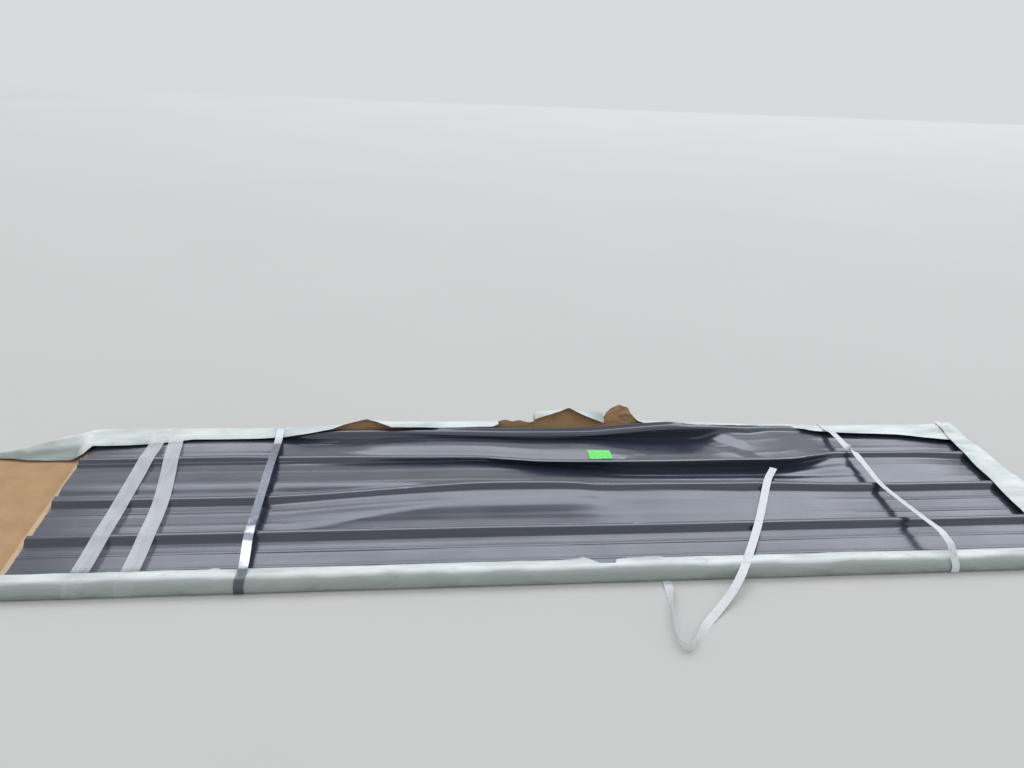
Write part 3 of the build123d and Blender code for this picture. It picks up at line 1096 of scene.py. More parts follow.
    def moves(self, x: float, across: float) -> tuple[float, float]:
        """Gives the broad movement of the sheet.

        Args:
            x: The place along the sheet.
            across: The place across the flat sheet.

        Returns:
            How far the sheet has risen there and how far it has moved to the far side.
        """
        half_top, half_foot, pitch = PROFILE.rib_top / 2, PROFILE.rib_foot / 2, PROFILE.pitch
        edge = PROFILE.edge_rib
        middle = (self.middle_rise.at(x), self.middle_shift.at(x))
        foot = (self.foot_rise.at(x), self.foot_shift.at(x))
        beyond = (self.beyond_rise.at(x), self.beyond_shift.at(x))
        edge_foot = (self.edge_foot_rise.at(x), self.edge_foot_shift.at(x))
        rim = (self.edge_rise.at(x), self.edge_shift.at(x))
        curl = self.edge_curl.at(x)
        near = (self.near_rise.at(x), 0.0)
        freed = between(*self.freed_left, x) * between(*self.freed_right, x)
        beyond_foot = (beyond[0] * (self.held_share + self.freed_share * freed), beyond[1])
        nodes = (
            (-pitch - half_foot, (0.0, 0.0)),
            (-pitch - half_top, near),
            (-pitch + half_top, near),
            (half_foot - pitch, (near[0] * self.near_foot_share, 0.0)),
            (-half_foot, (middle[0] + self.middle_foot.at(x), middle[1])),
            (-half_top, middle),
            (half_top, middle),
            (pitch - half_foot, foot),
            (pitch - half_top, beyond),
            (pitch + half_top, beyond),
            (pitch + half_foot, beyond_foot),
            (edge - half_foot, edge_foot),
            (edge - half_top, rim),
            (edge + half_top, (rim[0] + curl * self.curl_on_top, rim[1])),
            (edge + half_foot, (rim[0] + curl, rim[1])),
        )
        if across <= nodes[0][0]:
            return 0.0, 0.0
        for (low, start), (high, end) in zip(nodes, nodes[1:]):
            if across <= high:
                done = (across - low) / (high - low)
                share = ease(done)
                if low == half_foot - pitch:
                    share = self.climbed(across - low, high - low, end[0] - start[0])
                    share += (done - share) * between(*self.climb_turns, x)
                elif low == half_top:
                    step = between(*(half_foot + place for place in self.step_across), across)
                    share += (step - share) * between(*self.step_starts, x)
                return start[0] + share * (end[0] - start[0]), start[1] + share * (end[1] - start[1])
        return nodes[-1][1]

    def crumpled(self, x: float, across: float) -> float:
        """Gives the crumpled metal of the far pan and the kinks beyond the middle rib.

        Args:
            x: The place along the sheet.
            across: The place across the flat sheet.

        Returns:
            How far it lifts the sheet there.
        """
        crushed = sum(patch.at(x, across) for patch in self.crushed)
        folds = self.crumple * crushed * (creased(x / 1.6, across, 1.0, 70) - 0.4 + rough(x, across, 5.0, 45))
        kinks = self.kinked.at(x, across) * creased(x / 2.5, across, 8.0, 60)
        return folds + kinks + sum(crease.depth_at(x, across) for crease in self.creases)

    def detail(self, x: float, across: float) -> float:
        """Gives the fine unevenness of the sheet: pan ripples, wave folds and crumpled metal.

        Args:
            x: The place along the sheet.
            across: The place across the flat sheet.

        Returns:
            How far it lifts the sheet there.
        """
        half_pitch = PROFILE.pitch / 2
        pan = 1.0 - hump(across % PROFILE.pitch - half_pitch, half_pitch, 30) if across else 0.0
        ripples = self.ripple * (rough(x / 7, across, 3.0, 55) * pan + 1.6 * rough(x / 5, across, 9.0, 130))
        swells = sum(swell.lift_at(x, across) for swell in self.swells)
        waves = self.waves.lift_at(x, across) * math.sin(across / self.wave_width + x / self.wave_run)
        # The pan beyond the middle rib stands up at its foot and falls away to the next rib
        shed = 5.0 * between(20, 52, across) * max(0.0, (205 - across) / 155) * between(-100, -300, x)
        return ripples + swells + waves + shed + self.crumpled(x, across)

    def surface(self, x: float, across: float, height: float) -> Vector:
        """Gives the place of a point of the buckled sheet.

        Args:
            x: The place along the sheet.
            across: The place across the flat sheet.
            height: The height above the underside that the point has on the flat sheet.

        Returns:
            The point.
        """
        rise, shift = self.moves(x, across)
        quiet = between(0, self.quiet_edge, PROFILE.half_width - abs(across))
        free = 1.0 - hump(x, STEEL_STRAP_X, self.strap_reach)
        lift = self.detail(x, across) * quiet * free
        return Vector((x, across + shift, height + rise + lift))

    def on_top(self, x: float, across: float) -> Vector:
        """Returns the point of the sheet's upper side at a place on the flat sheet."""
        return self.surface(x, across, TOP_PAN + PROFILE.height(across))

    def seen_at(self, x: float, y: float) -> Vector:
        """Gives the point of the sheet's upper side that is seen at a place.

        Args:
            x: The place along the sheet.
            y: The place across the bundle.

        Returns:
            The point whose y is the given one.
        """
        across = y
        for _ in range(12):
            across += (y - self.on_top(x, across).y) * 0.7
        return self.on_top(x, across)


@dataclass
class TopSheet:
    """The uppermost sheet, buckled along its far half."""

    buckle: Buckle
    steps: int = 286
    widest_facet: float = 14.0
    spread: Track = Track(((0.0, -1676.5), (0.11, -850.0), (0.86, 1130.0), (1.0, 1676.5)), Flow.STRAIGHT)

    def __post_init__(self) -> None:
        """Reads the sheet's ends from the frame."""
        low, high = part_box("top_sheet")
        self.start, self.end = low.x / MM, high.x / MM

    def flat(self) -> Mesh:
        """Rolls the flat sheet from its section.

        Returns:
            The sheet's mesh, with rounded bends and even facets.
        """
        bm = bmesh.new()
        corners = [bm.verts.new((self.start, across, TOP_PAN + up)) for across, up in PROFILE.line()]
        edges = [bm.edges.new(pair) for pair in zip(corners, corners[1:])]
        rolled = bmesh.ops.extrude_edge_only(bm, edges=edges)["geom"]
        moved = [item for item in rolled if isinstance(item, bmesh.types.BMVert)]
        bmesh.ops.translate(bm, vec=(self.end - self.start, 0, 0), verts=moved)
        bends = [edge for edge in bm.edges if not edge.is_boundary]
        on_ribs = [edge for edge in bends if PROFILE.on_rib(edge.verts[0].co.y)]
        on_beads = [edge for edge in bends if not PROFILE.on_rib(edge.verts[0].co.y)]
        for group, segments, offset in ((on_ribs, 2, PROFILE.rib_bend), (on_beads, 1, PROFILE.bend)):
            bmesh.ops.bevel(
                bm, geom=group, offset=offset, segments=segments, profile=0.5, affect="EDGES", material=-1
            )
        across_edges = [e for e in bm.edges if abs(e.verts[0].co.x - e.verts[1].co.x) < 1.0]
        wide = {}
        for edge in across_edges:
            cuts = math.ceil(edge.calc_length() / self.widest_facet) - 1
            if cuts > 0:
                wide.setdefault(cuts, []).append(edge)
        for cuts, group in sorted(wide.items()):
            bmesh.ops.subdivide_edges(bm, edges=group, cuts=cuts, use_grid_fill=True)
        long_edges = [e for e in bm.edges if abs(e.verts[0].co.x - e.verts[1].co.x) > 1.0]
        bmesh.ops.subdivide_edges(bm, edges=long_edges, cuts=self.steps - 1, use_grid_fill=True)
        bmesh.ops.recalc_face_normals(bm, faces=bm.faces)
        if sum(face.normal.z for face in bm.faces) < 0:
            bmesh.ops.reverse_faces(bm, faces=bm.faces)
        return bm

    def build(self, material: Material) -> Piece:
        """Makes the buckled sheet.

        Args:
            material: The painted steel.

        Returns:
            The finished piece.
        """
        bm = self.flat()
        for vertex in bm.verts:
            x = self.spread.at((vertex.co.x - self.start) / (self.end - self.start))
            vertex.co = self.buckle.surface(x, vertex.co.y, vertex.co.z)
        return finish_piece(
            bm, "ribbed_top_sheet", [material], Slot.SHEET, thickness=PROFILE.thickness, offset=-1.0,
            sharp_angle=60.0, replaced=["top_sheet"],
        )


@dataclass(frozen=True)
class Fold:
    """The wrap's far side at one place along the bundle: its wall, crest and lip, each point (y, z)."""

    x: float
    points: tuple[Point, ...]


@dataclass(frozen=True)
class Crumple:
    """A stretch of the wrap's far side that is crumpled, by its middle, half length and size of the bumps."""

    x: float
    reach: float
    bump: float
    wave: float

    def out_at(self, x: float, y: float, z: float) -> float:
        """Gives how far the crumple makes the paper stand out.

        Args:
            x: The place along the bundle.
            y: The place across it.
            z: The height.

        Returns:
            How far the paper stands out there.
        """
        shape = creased(x, y * 2, z, self.wave) - 0.35 + rough(x, y * 3, z, self.wave / 2)
        return self.bump * hump(x, self.x, self.reach) * shape


@dataclass
class PaperWrap:
    """The torn paper round the bundle: two long lips, an open apron at the left end and a folded right end."""

    left: float = -2010.0
    right: float = 1677.5
    end_wall: float = 1685.2
    spacing: float = 8.0
    rows_per_key: int = 3
    tear_gap: float = 0.6
    paper: float = 0.5
    channel: float = 0.85
    near_roll: tuple[Point, ...] = (
        (-482, 0.1), (-487, 4), (-488.5, 12), (-487, 22), (-481, 31), (-470, 36.5),
        (-457, 38.5), (-440, 38), (-420, 35), (-402, 27), (-392, 19),
    )
    ground: tuple[Point, ...] = ((-300, 0.1), (0, 0.1), (300, 0.1), (470, 0.1), (483, 1.0))
    near_edge: Track = Track(
        (
            (-2010, -390), (-1200, -392), (-1120, -391), (-1104, -383), (-1090, -391), (-600, -393),
            (-120, -391), (-52, -386), (-36, -376), (-12, -393), (6, -420), (26, -431), (54, -434),
            (62, -396), (100, -390), (190, -386), (215, -392), (900, -393), (1150, -396), (1677, -392),
        ),
        Flow.STRAIGHT,
    )
    folds: tuple[Fold, ...] = (
        Fold(-2010, ((352, 3), (357, 5), (356, 8), (350, 10), (342, 10), (334, 8), (326, 6))),
        Fold(-1930, ((362, 4), (368, 9), (368, 13), (361, 16), (348, 16), (332, 13), (316, 10))),
        Fold(-1877, ((360, 4), (362, 16), (359, 30), (351, 39), (345, 37), (326, 16), (303, 9))),
        Fold(-1810, ((385, 6), (390, 20), (388, 36), (380, 47), (372, 45), (340, 15), (299, 8))),
        Fold(-1726, ((428, 8), (433, 24), (431, 39), (422, 50), (412, 48), (364, 18), (298, 10))),
        Fold(-1702, ((468, 12), (472, 25), (470, 38), (457, 46), (422, 44), (364, 32), (303, 22))),
        Fold(-1686, ((488, 12), (489, 24), (487, 34), (477, 40), (440, 39), (386, 31), (328, 25))),
        Fold(-1678, ((488, 12), (489, 24), (487, 34), (478, 40), (450, 41), (412, 37), (370, 28))),
        Fold(-1560, ((488, 12), (489, 24), (487, 34), (478, 40), (450, 41), (413, 37), (372, 27))),
        Fold(-1470, ((488, 12), (489, 24), (487, 34), (478, 40), (452, 41), (418, 37), (382, 27))),
        Fold(-1400, ((488, 12), (489, 24), (487, 34), (478, 40), (455, 41), (426, 37), (396, 28))),
        Fold(-1340, ((488, 12), (489, 24), (487, 34), (478, 40), (455, 41), (430, 38), (408, 30))),
        Fold(-1100, ((488, 12), (489, 24), (487, 34), (478, 40), (455, 41), (430, 38), (408, 31))),
        Fold(-1010, ((488, 12), (489, 24), (487, 34), (479, 40), (457, 42), (434, 39), (414, 33))),
        Fold(-925, ((488, 12), (490, 25), (488, 36), (482, 43), (466, 45), (447, 43), (429, 40))),
        Fold(-838, ((488, 12), (490, 26), (490, 38), (486, 46), (477, 49), (466, 48), (455, 45))),
        Fold(-790, ((488, 12), (490, 26), (491, 38), (490, 47), (487, 52), (482, 55), (475, 55))),
        Fold(-709, ((488, 12), (490, 26), (492, 38), (493, 48), (493, 57), (490, 65), (485, 71))),
        Fold(-665, ((488, 12), (490, 26), (493, 38), (493, 50), (490, 60), (480, 67), (466, 66))),
        Fold(-618, ((488, 12), (490, 26), (493, 38), (491, 52), (482, 62), (463, 65), (442, 58))),
        Fold(-420, ((488, 12), (490, 26), (492, 38), (490, 52), (481, 61), (461, 64), (435, 57))),
        Fold(-230, ((488, 12), (490, 26), (492, 38), (489, 53), (479, 64), (459, 67), (433, 61))),
        Fold(-207, ((488, 12), (490, 26), (492, 38), (490, 54), (483, 66), (466, 70), (447, 66))),
        Fold(-205, ((488, 12), (489, 24), (491, 33), (492, 39), (494, 44), (496, 48), (497, 52))),
        Fold(-175, ((488, 12), (489, 24), (491, 34), (493, 41), (495, 47), (498, 53), (499, 59))),
        Fold(-148, ((488, 12), (489, 24), (491, 33), (492, 38), (494, 43), (496, 47), (497, 51))),
        Fold(-122, ((488, 12), (489, 24), (491, 34), (493, 40), (495, 46), (497, 52), (498, 57))),
        Fold(-86, ((488, 12), (489, 24), (491, 32), (492, 37), (493, 41), (494, 44), (495, 47))),
        Fold(-64, ((488, 12), (489, 24), (491, 33), (492, 38), (493, 43), (494, 47), (495, 51))),
        Fold(-62, ((489, 14), (496, 31), (508, 48), (521, 64), (524, 77), (508, 75), (489, 64))),
        Fold(5, ((489, 14), (498, 32), (511, 50), (524, 70), (526, 84), (511, 87), (493, 84))),
        Fold(73, ((489, 14), (499, 32), (513, 52), (524, 72), (528, 87), (516, 99), (501, 107))),
        Fold(145, ((489, 14), (498, 32), (511, 50), (524, 69), (526, 83), (508, 80), (490, 74))),
        Fold(217, ((489, 14), (496, 31), (508, 48), (520, 63), (523, 76), (504, 62), (486, 46))),
        Fold(219, ((489, 13), (494, 26), (499, 38), (504, 48), (508, 56), (511, 63), (513, 69))),
        Fold(248, ((489, 13), (496, 29), (504, 46), (511, 62), (517, 76), (521, 86), (523, 95))),
        Fold(282, ((489, 13), (496, 30), (505, 49), (513, 67), (519, 83), (524, 96), (526, 107))),
        Fold(312, ((489, 13), (496, 29), (504, 46), (511, 63), (516, 78), (520, 90), (521, 100))),
        Fold(334, ((489, 13), (493, 26), (498, 38), (502, 48), (505, 56), (507, 63), (507, 69))),
        Fold(350, ((489, 12), (491, 25), (493, 36), (491, 47), (486, 56), (478, 61), (468, 60))),
        Fold(385, ((489, 12), (491, 25), (493, 36), (491, 46), (485, 53), (476, 56), (465, 54))),
        Fold(444, ((489, 12), (491, 24), (492, 36), (490, 46), (484, 53), (474, 55), (462, 53))),
        Fold(527, ((488, 12), (490, 24), (492, 34), (489, 43), (483, 49), (474, 51), (462, 49))),
        Fold(610, ((488, 12), (490, 22), (491, 32), (489, 41), (484, 46), (476, 48), (466, 46))),
        Fold(695, ((488, 12), (490, 21), (490, 30), (488, 38), (483, 43), (475, 44), (466, 43))),
        Fold(820, ((488, 12), (490, 20), (490, 29), (487, 37), (482, 41), (474, 42), (463, 41))),
        Fold(945, ((488, 11), (489, 19), (489, 27), (486, 35), (480, 39), (470, 40), (456, 38))),
        Fold(1020, ((488, 10), (489, 17), (488, 25), (482, 33), (471, 38), (456, 39), (438, 37))),
        Fold(1075, ((488, 10), (489, 16), (486, 24), (479, 32), (467, 37.6), (448, 38), (418, 36))),
        Fold(1200, ((488, 10), (489, 16), (486, 24), (478, 32), (466, 37.6), (442, 38), (397, 38.5))),
        Fold(1400, ((488, 10), (489, 16), (486, 24), (478, 32), (466, 37.6), (438, 38), (384, 36))),
        Fold(1511, ((488, 10), (489, 16), (486, 24), (478, 32), (466, 37.6), (434, 37), (362, 32))),
        Fold(1600, ((488, 12), (489, 20), (487, 29), (478, 35), (462, 38.4), (430, 37), (346, 30))),
        Fold(1678, ((488, 12), (489, 23), (487, 33), (478, 38), (458, 39.5), (426, 38), (340, 30))),
    )
    tears: tuple[float, ...] = (-206.0, -63.0, 218.0)
    crumples: tuple[Crumple, ...] = (
        Crumple(290, 95, 7.0, 26),
        Crumple(-135, 75, 2.4, 22),
        Crumple(72, 150, 1.6, 60),
        Crumple(1060, 90, 3.5, 30),
        Crumple(1640, 60, 2.5, 32),
        Crumple(-1940, 110, 3.0, 60),
        Crumple(-700, 150, 1.2, 50),
        Crumple(700, 330, 1.6, 40),
    )
    fold_line: Track = Track(
        ((-489, 1503), (-209, 1535), (265, 1591), (325, 1601), (400, 1611), (489, 1619)), Flow.STRAIGHT
    )
    slump: float = 0.25
    slumps: Point = (-1690, -2010)
    lip_wave: float = 0.05
    wall_bulge: float = 1.6
    soft_wrinkle: float = 0.55
    fine_wrinkle: float = 0.35
    crease_depth: float = 0.9
    end_half: float = 487.0
    end_top: float = 37.6
    end_sag: float = 3.0
    over_lips: float = 4.6
    corner_drop: float = 6.0
    strap_reach: float = 60.0
    # The apron is open beyond the sheets' left end: its bottom lifts in waves after a crease at the end
    opens: Point = (-1700, -1780)
    puff: float = 2.6
    puff_size: float = 190.0
    apron_edge: float = 460.0
    crease_x: float = -1688.0
    crease_height: float = 8.0
    crease_reach: float = 16.0
    crumpled_from: float = 380.0

    def columns(self) -> list[float]:
        """Gives the places along the bundle that have a column of vertices.

        Returns:
            The places from left to right, with a close pair at each tear.
        """
        count = round((self.right - self.left) / self.spacing)
        even = [self.left + (self.right - self.left) * index / count for index in range(count + 1)]
        clear = [x for x in even if all(abs(x - tear) > self.spacing / 2 for tear in self.tears)]
        pairs = [tear + side for tear in self.tears for side in (-self.tear_gap, self.tear_gap)]
        return sorted(clear + pairs)

    def far_side(self, x: float) -> list[Vector]:
        """Gives the far side's section.

        Args:
            x: The place along the bundle.

        Returns:
            The section's points there, each (y, z), from the wall's foot to the lip's edge.
        """
        for before, after in zip(self.folds, self.folds[1:]):
            if x <= after.x:
                share = (x - before.x) / (after.x - before.x)
                return [Vector(a).lerp(Vector(b), share) for a, b in zip(before.points, after.points)]
        return [Vector(point) for point in self.folds[-1].points]

    def near_side(self, x: float) -> list[Vector]:
        """Gives the near side's section, whose lip is as wide as its edge says there.

        Args:
            x: The place along the bundle.

        Returns:
            The section's points there, each (y, z), from the wall's foot to the lip's edge.
        """
        crest = self.near_roll[7][0]
        stretch = (self.near_edge.at(x) - crest) / (self.near_roll[-1][0] - crest)
        slump = 1.0 - self.slump * between(*self.slumps, x) + self.lip_wave * rough(x, 0, 0, 240)
        bulge = self.wall_bulge * rough(x, 7, 0, 170)
        return [
            Vector((crest + (y - crest) * stretch if y > crest else y - bulge * between(0, 8, z), z * slump))
            for y, z in self.near_roll
        ]

    def section(self, x: float) -> list[Vector]:
        """Gives the wrap's whole section.

        Args:
            x: The place along the bundle.

        Returns:
            The points, each (y, z), from the far lip's edge under the bundle to the near lip's edge.
        """
        channel = self.channel * max(hump(x, place, self.strap_reach) for place in (STEEL_STRAP_X, SLACK_STRAP_X))
        open_end = between(*self.opens, x)
        far = self.far_side(x)
        turned_in = (far[0].x - 5) / self.ground[-1][0]
        under = []
        for y, z in self.ground:
            lift = 0.0
            if y < self.apron_edge:
                lift = open_end * self.puff * (1.0 + rough(x, y, 4.0, self.puff_size))
                lift += self.crease_height * hump(x, self.crease_x, self.crease_reach)
            under.append(Vector((y * (turned_in if y > 0 else 1.0), z + channel + lift)))
        return [*reversed(far), *reversed(under), *self.near_side(x)]

    def wrinkle(self, place: Vector) -> float:
        """Gives how far the paper stands out, from its small wrinkles and crumples.

        Args:
            place: The point of the smooth paper.

        Returns:
            How far the paper stands out there.
        """
        x, y, z = place
        small = self.soft_wrinkle * rough(x / 2.2, y, z, 26) + self.fine_wrinkle * rough(x, y, z, 11)
        folds = self.crease_depth * (creased(x / 3.0, y + 50, z, 60) - 0.4)
        if y < self.crumpled_from:
            return small + folds
        crumple = sum(stretch.out_at(x, y, z) for stretch in self.crumples)
        return small + folds + crumple * between(24, 44, z if x > -1700 else z + 20)

    def add_body(self, bm: Mesh) -> None:
        """Adds the long sheet, torn along its far side.

        Args:
            bm: The mesh that takes it.
        """
        columns = self.columns()
        keys = len(self.section(0.0))
        far_keys = len(self.folds[0].points)
        sections = [self.section(x) for x in columns]
        last = len(columns) - 1

        def shape(along: float, across: float) -> Vector:
            """Gives the point at two shares.

            Args:
                along: The share of the bundle's length.
                across: The share of the section.

            Returns:
                The point.
            """
            index = round(along * last)
            place = on_line(sections[index], across * (keys - 1))
            return Vector((columns[index], *place))

        def keep(along: float, across: float) -> bool:
            """Says whether a cell stays, which those in the gap of a tear don't.

            Args:
                along: The share of the bundle's length at the cell's middle.
                across: The share of the section there.

            Returns:
                True where the cell stays.
            """
            index = int(along * last)
            gap = columns[index + 1] - columns[index]
            return gap > 3 * self.tear_gap or across * (keys - 1) > far_keys - 3

        add_grid(bm, last, (keys - 1) * self.rows_per_key, shape, keep)

    def end_place(self, across: float, along: float) -> Vector:
        """Gives a point of the right end: its wall and the strip folded over on to the sheets.

        Args:
            across: The share of the bundle's width, from the near side.
            along: The share of the way from under the bundle to the strip's raised inner edge.

        Returns:
            The point.
        """
        y = self.end_half * (2 * across - 1)
        rib_gap = abs((y + PROFILE.edge_rib + PROFILE.pitch / 2) % PROFILE.pitch - PROFILE.pitch / 2)
        sag = self.end_sag * between(16, 100, rib_gap) * between(0, 60, 420 - abs(y))
        lips = self.over_lips * between(385, 405, abs(y))
        corner = self.corner_drop * hump(abs(y), self.end_half, 16)
        top = self.end_top + lips - corner - sag
        edge = self.fold_line.at(y)
        curl = 3.6 + 1.4 * rough(y, 0, 0, 90)
        wall = self.end_wall
        keys = (
            (1655, 0.9), (1678, 0.9), (wall - 1, 3), (wall, 14), (wall, 26), (wall - 1.5, top - 3),
            (wall - 9, top + 0.6), (wall - 24, top), ((wall + edge) / 2, top - 0.6),
            (edge + 24, top + 0.4), (edge + 12, top + curl), (edge + 5, top + curl),
            (edge, top + curl - 2.2), (edge - 1, top + curl - 3.6),
        )
        x, z = on_line(keys, along * (len(keys) - 1))
        return Vector((x, y, z))

    def build(self, coated: Material, kraft: Material) -> Piece:
        """Args:
            coated: The outer side's material.
            kraft: The inner side's material.

        Returns:
            The finished piece.
        """
        bm = bmesh.new()
        add_grid(bm, 120, 48, self.end_place)
        self.add_body(bm)
        bm.normal_update()
        for vertex in bm.verts:
            lifted = between(2.0, 7.0, vertex.co.z)
            if lifted:
                vertex.co += vertex.normal * (self.wrinkle(vertex.co) * lifted)
        wrap = finish_piece(
            bm, "torn_paper_wrap", [coated, kraft], Slot.WRAP, thickness=self.paper, offset=-1.0,
            sharp_angle=55.0, replaced=["paper_wrap"],
        )
        return wrap


@dataclass
class Tape:
    """A band of film tape across the bundle, from one wall of the wrap to the other."""

    node: str
    route: Track
    lip_edge: tuple[Point, ...]
    sag: float = 1.6
    width: float = 50.0
    thickness: float = 0.25
    above_crest: float = 0.5
    cell: float = 8.0
    least_drooping: float = 100.0
    wrinkle: float = 0.5
    wrinkle_size: float = 22.0
    far_wall: tuple[Point, ...] = ((489.5, 6), (490.4, 16), (490.6, 25), (488.4, 35.4), (479, 41.8), (455, 42.9))
    near_wrap: tuple[Point, ...] = (
        (-425, 37.0), (-440, 39.2), (-457, 39.8), (-470.6, 38),
        (-482.2, 32), (-488.4, 22.5), (-490, 12), (-488.6, 4.6),
    )

    def line(self, buckle: Buckle) -> list[Vector]:
        """Gives the tape's middle line, stretched between the rib crests.

        Args:
            buckle: How the top sheet has moved.

        Returns:
            The line's points, from the far wall to the near one.
        """
        crests = []
        for rib in (1, 0, -1):
            for side in (1, -1):
                across = rib * PROFILE.pitch + side * (PROFILE.rib_top / 2 - 1)
                crests.append(buckle.on_top(self.route.at(across), across))
        over_ribs = [(point.y, point.z + self.above_crest) for point in crests]
        stops = [*self.far_wall, *self.lip_edge, *over_ribs, *self.near_wrap]
        points = []
        for start, end in zip(stops, stops[1:]):
            span = math.dist(start, end)
            cells = max(2, math.ceil(span / self.cell))
            droop = self.sag if span > self.least_drooping else 0.0
            for cell in range(cells):
                share = cell / cells
                y, z = Vector(start).lerp(Vector(end), share)
                points.append(Vector((self.route.at(y), y, z - droop * 4 * share * (1 - share))))
        y, z = stops[-1]
        return [*points, Vector((self.route.at(y), y, z))]

    def build(self, buckle: Buckle, material: Material) -> Piece:
        """Makes the band.

        Args:
            buckle: How the top sheet has moved.
            material: The film.

        Returns:
            The finished piece.
        """
        path = self.line(buckle)
        bm = strip(path, [Vector((1, 0, 0))] * len(path), self.width)
        for vertex in bm.verts:
            x, y, _ = vertex.co
            lift = self.wrinkle * rough(x, y / 6, 2.0, self.wrinkle_size)
            vertex.co.z += lift * between(1.2, 0.0, abs(y) / 400)
        return finish_piece(
            bm, f"film_{self.node}", [material], Slot.TAPE, self.thickness, sharp_angle=50.0, replaced=[self.node]
        )


@dataclass
class LeftTape(Tape):
    """The left band."""

    node: str = "tape_band_left"
    route: Track = Track(((-489, -1469), (-9, -1462), (351, -1455), (490, -1467)))
    lip_edge: tuple[Point, ...] = ((418, 39.6), (382, 33.5))


@dataclass
class RightTape(Tape):
    """The right band, which has a kink at the middle rib."""

    node: str = "tape_band_right"
    route: Track = Track(((-489, -1333), (-228, -1335), (-9, -1344), (378, -1389), (490, -1397)))
    lip_edge: tuple[Point, ...] = ((426, 39.6), (397, 35.5))


@dataclass
class Strap:
    """A flat strap round the whole bundle."""

    name: str
    node: str
    slot: Slot
    width: float
    over: tuple[Point, ...]
    route: Track
    roll: Track
    thickness: float = 0.8
    crown: float = 0.25
    wobble: float = 0.0
    wobbles_above: float = 45.0
    spacing: float = 6.0
    # Under the bundle the strap keeps the place and the roll that it has at the near wall
    near_wall: float = -600.0

    def build(self, material: Material) -> Piece:
        """Makes the strap.

        Args:
            material: The strap's material.

        Returns:
            The finished piece.
        """
        under = ((483, 0.9), (470, UNDER_STRAP), (0, UNDER_STRAP), (-470, UNDER_STRAP), (-484, 1.1))
        line = even_line([*self.over, *under, self.over[0]], self.spacing)
        path = [Vector((self.route.at(y if z > UNDERSIDE_TOP else self.near_wall), y, z)) for y, z in line]
        sides = []
        for index, point in enumerate(path):
            run = (path[min(index + 1, len(path) - 1)] - path[max(index - 1, 0)]).normalized()
            turn = self.roll.at(point.y if point.z > UNDERSIDE_TOP else self.near_wall)
            across = (Vector((1, 0, 0)) - run * run.x).normalized()
            sides.append(Matrix.Rotation(math.radians(turn), 3, run) @ across)
            if point.z > self.wobbles_above:
                point.z += self.wobble * rough(point.x, point.y, 0, 24)
        bm = strip(path, sides, self.width, self.crown)
        return finish_piece(
            bm, self.name, [material], self.slot, self.thickness, sharp_angle=45.0, replaced=[self.node]
        )


@dataclass
class SteelStrap(Strap):
    """The tight steel strap, which arches over the sheets between the lips."""

    name: str = "tight_steel_strap"
    node: str = "steel_strap"
    slot: Slot = Slot.STEEL
    width: float = 27.0
    over: tuple[Point, ...] = (
        (-489.6, 4), (-490.6, 12), (-489.4, 23), (-483.2, 32.6), (-471, 38.9), (-457, 41.0), (-440, 43.6),
        (-400, 51), (-330, 58), (-229, 60), (-120, 59), (0, 60), (120, 64), (229, 60), (310, 51),
        (370, 45), (420, 43.6), (456, 43.6), (480, 42.0), (489.6, 35), (491, 24), (490, 10),
    )
    route: Track = Track(((-489, -1028), (-417, -1023), (-268, -1030), (-100, -1028), (249, -1023), (490, -1028)))
    roll: Track = Track(
        ((-489, 0), (-418, 0), (-398, 9), (-260, 7), (-247, -4), (-220, -8), (-190, 8), (-175, 0), (490, 0))
    )


@dataclass
class SlackStrap(Strap):
    """The slack white strap, which stands off the sheets and has a twist."""

    name: str = "slack_white_strap"
    node: str = "slack_strap"
    slot: Slot = Slot.WHITE
    width: float = 25.4
    over: tuple[Point, ...] = (
        (-490.4, 4), (-491.4, 14), (-489.8, 24), (-482, 34), (-466, 50), (-436, 74), (-376, 83), (-293, 73),
        (-132, 54), (-12, 44), (103, 54), (180, 61), (217, 63), (254, 55), (310, 54), (367, 54), (400, 47),
        (430, 40.6), (450, 40.2), (467, 39.4), (480, 34), (488, 25), (491, 16), (490, 8),
    )
    route: Track = Track(((-600, SLACK_STRAP_X), (600, SLACK_STRAP_X)), Flow.STRAIGHT)
    roll: Track = Track((
        (-489, -180), (-400, -178), (-240, -171), (-12, -170), (103, -171), (180, -174), (217, -110),
        (254, -20), (310, -2), (490, 0),
    ))
    wobble: float = 1.0


@dataclass
class Seal:
    """The crimped sleeve over the steel strap's ends."""

    groove: float = 0.5
    waist: float = 0.16
    crimp_reach: float = 3.0
    least_depth: float = 1.6
    edge_round: float = 0.5
    set_out: float = 0.3

    def build(self, material: Material) -> Piece:
        """Makes the seal.

        Args:
            material: The seal's steel.

        Returns:
            The finished piece.
        """
        low, high = (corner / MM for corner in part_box("strap_seal"))
        size, middle = high - low, (low + high) / 2
        bm = bmesh.new()
        bmesh.ops.create_cube(bm, size=1.0)
        bmesh.ops.scale(bm, vec=(size.x, max(size.y, self.least_depth), size.z), verts=bm.verts)
        bmesh.ops.bevel(
            bm, geom=bm.edges[:], offset=self.edge_round, segments=2, profile=0.5, affect="EDGES", material=-1
        )
        long_edges = [edge for edge in bm.edges if abs(edge.verts[0].co.x - edge.verts[1].co.x) > size.x / 2]
        bmesh.ops.subdivide_edges(bm, edges=long_edges, cuts=15, use_grid_fill=True)
        for vertex in bm.verts:
            crimps = max(hump(vertex.co.x, place, self.crimp_reach) for place in (-size.x / 5, size.x / 5))
            vertex.co.z *= 1.0 - self.waist * crimps
            vertex.co.y *= 1.0 - self.groove * crimps
        bmesh.ops.translate(bm, vec=middle - Vector((0, self.set_out, 0)), verts=bm.verts)
        return finish_piece(bm, "crimped_seal", [material], Slot.SEAL, replaced=["strap_seal"])


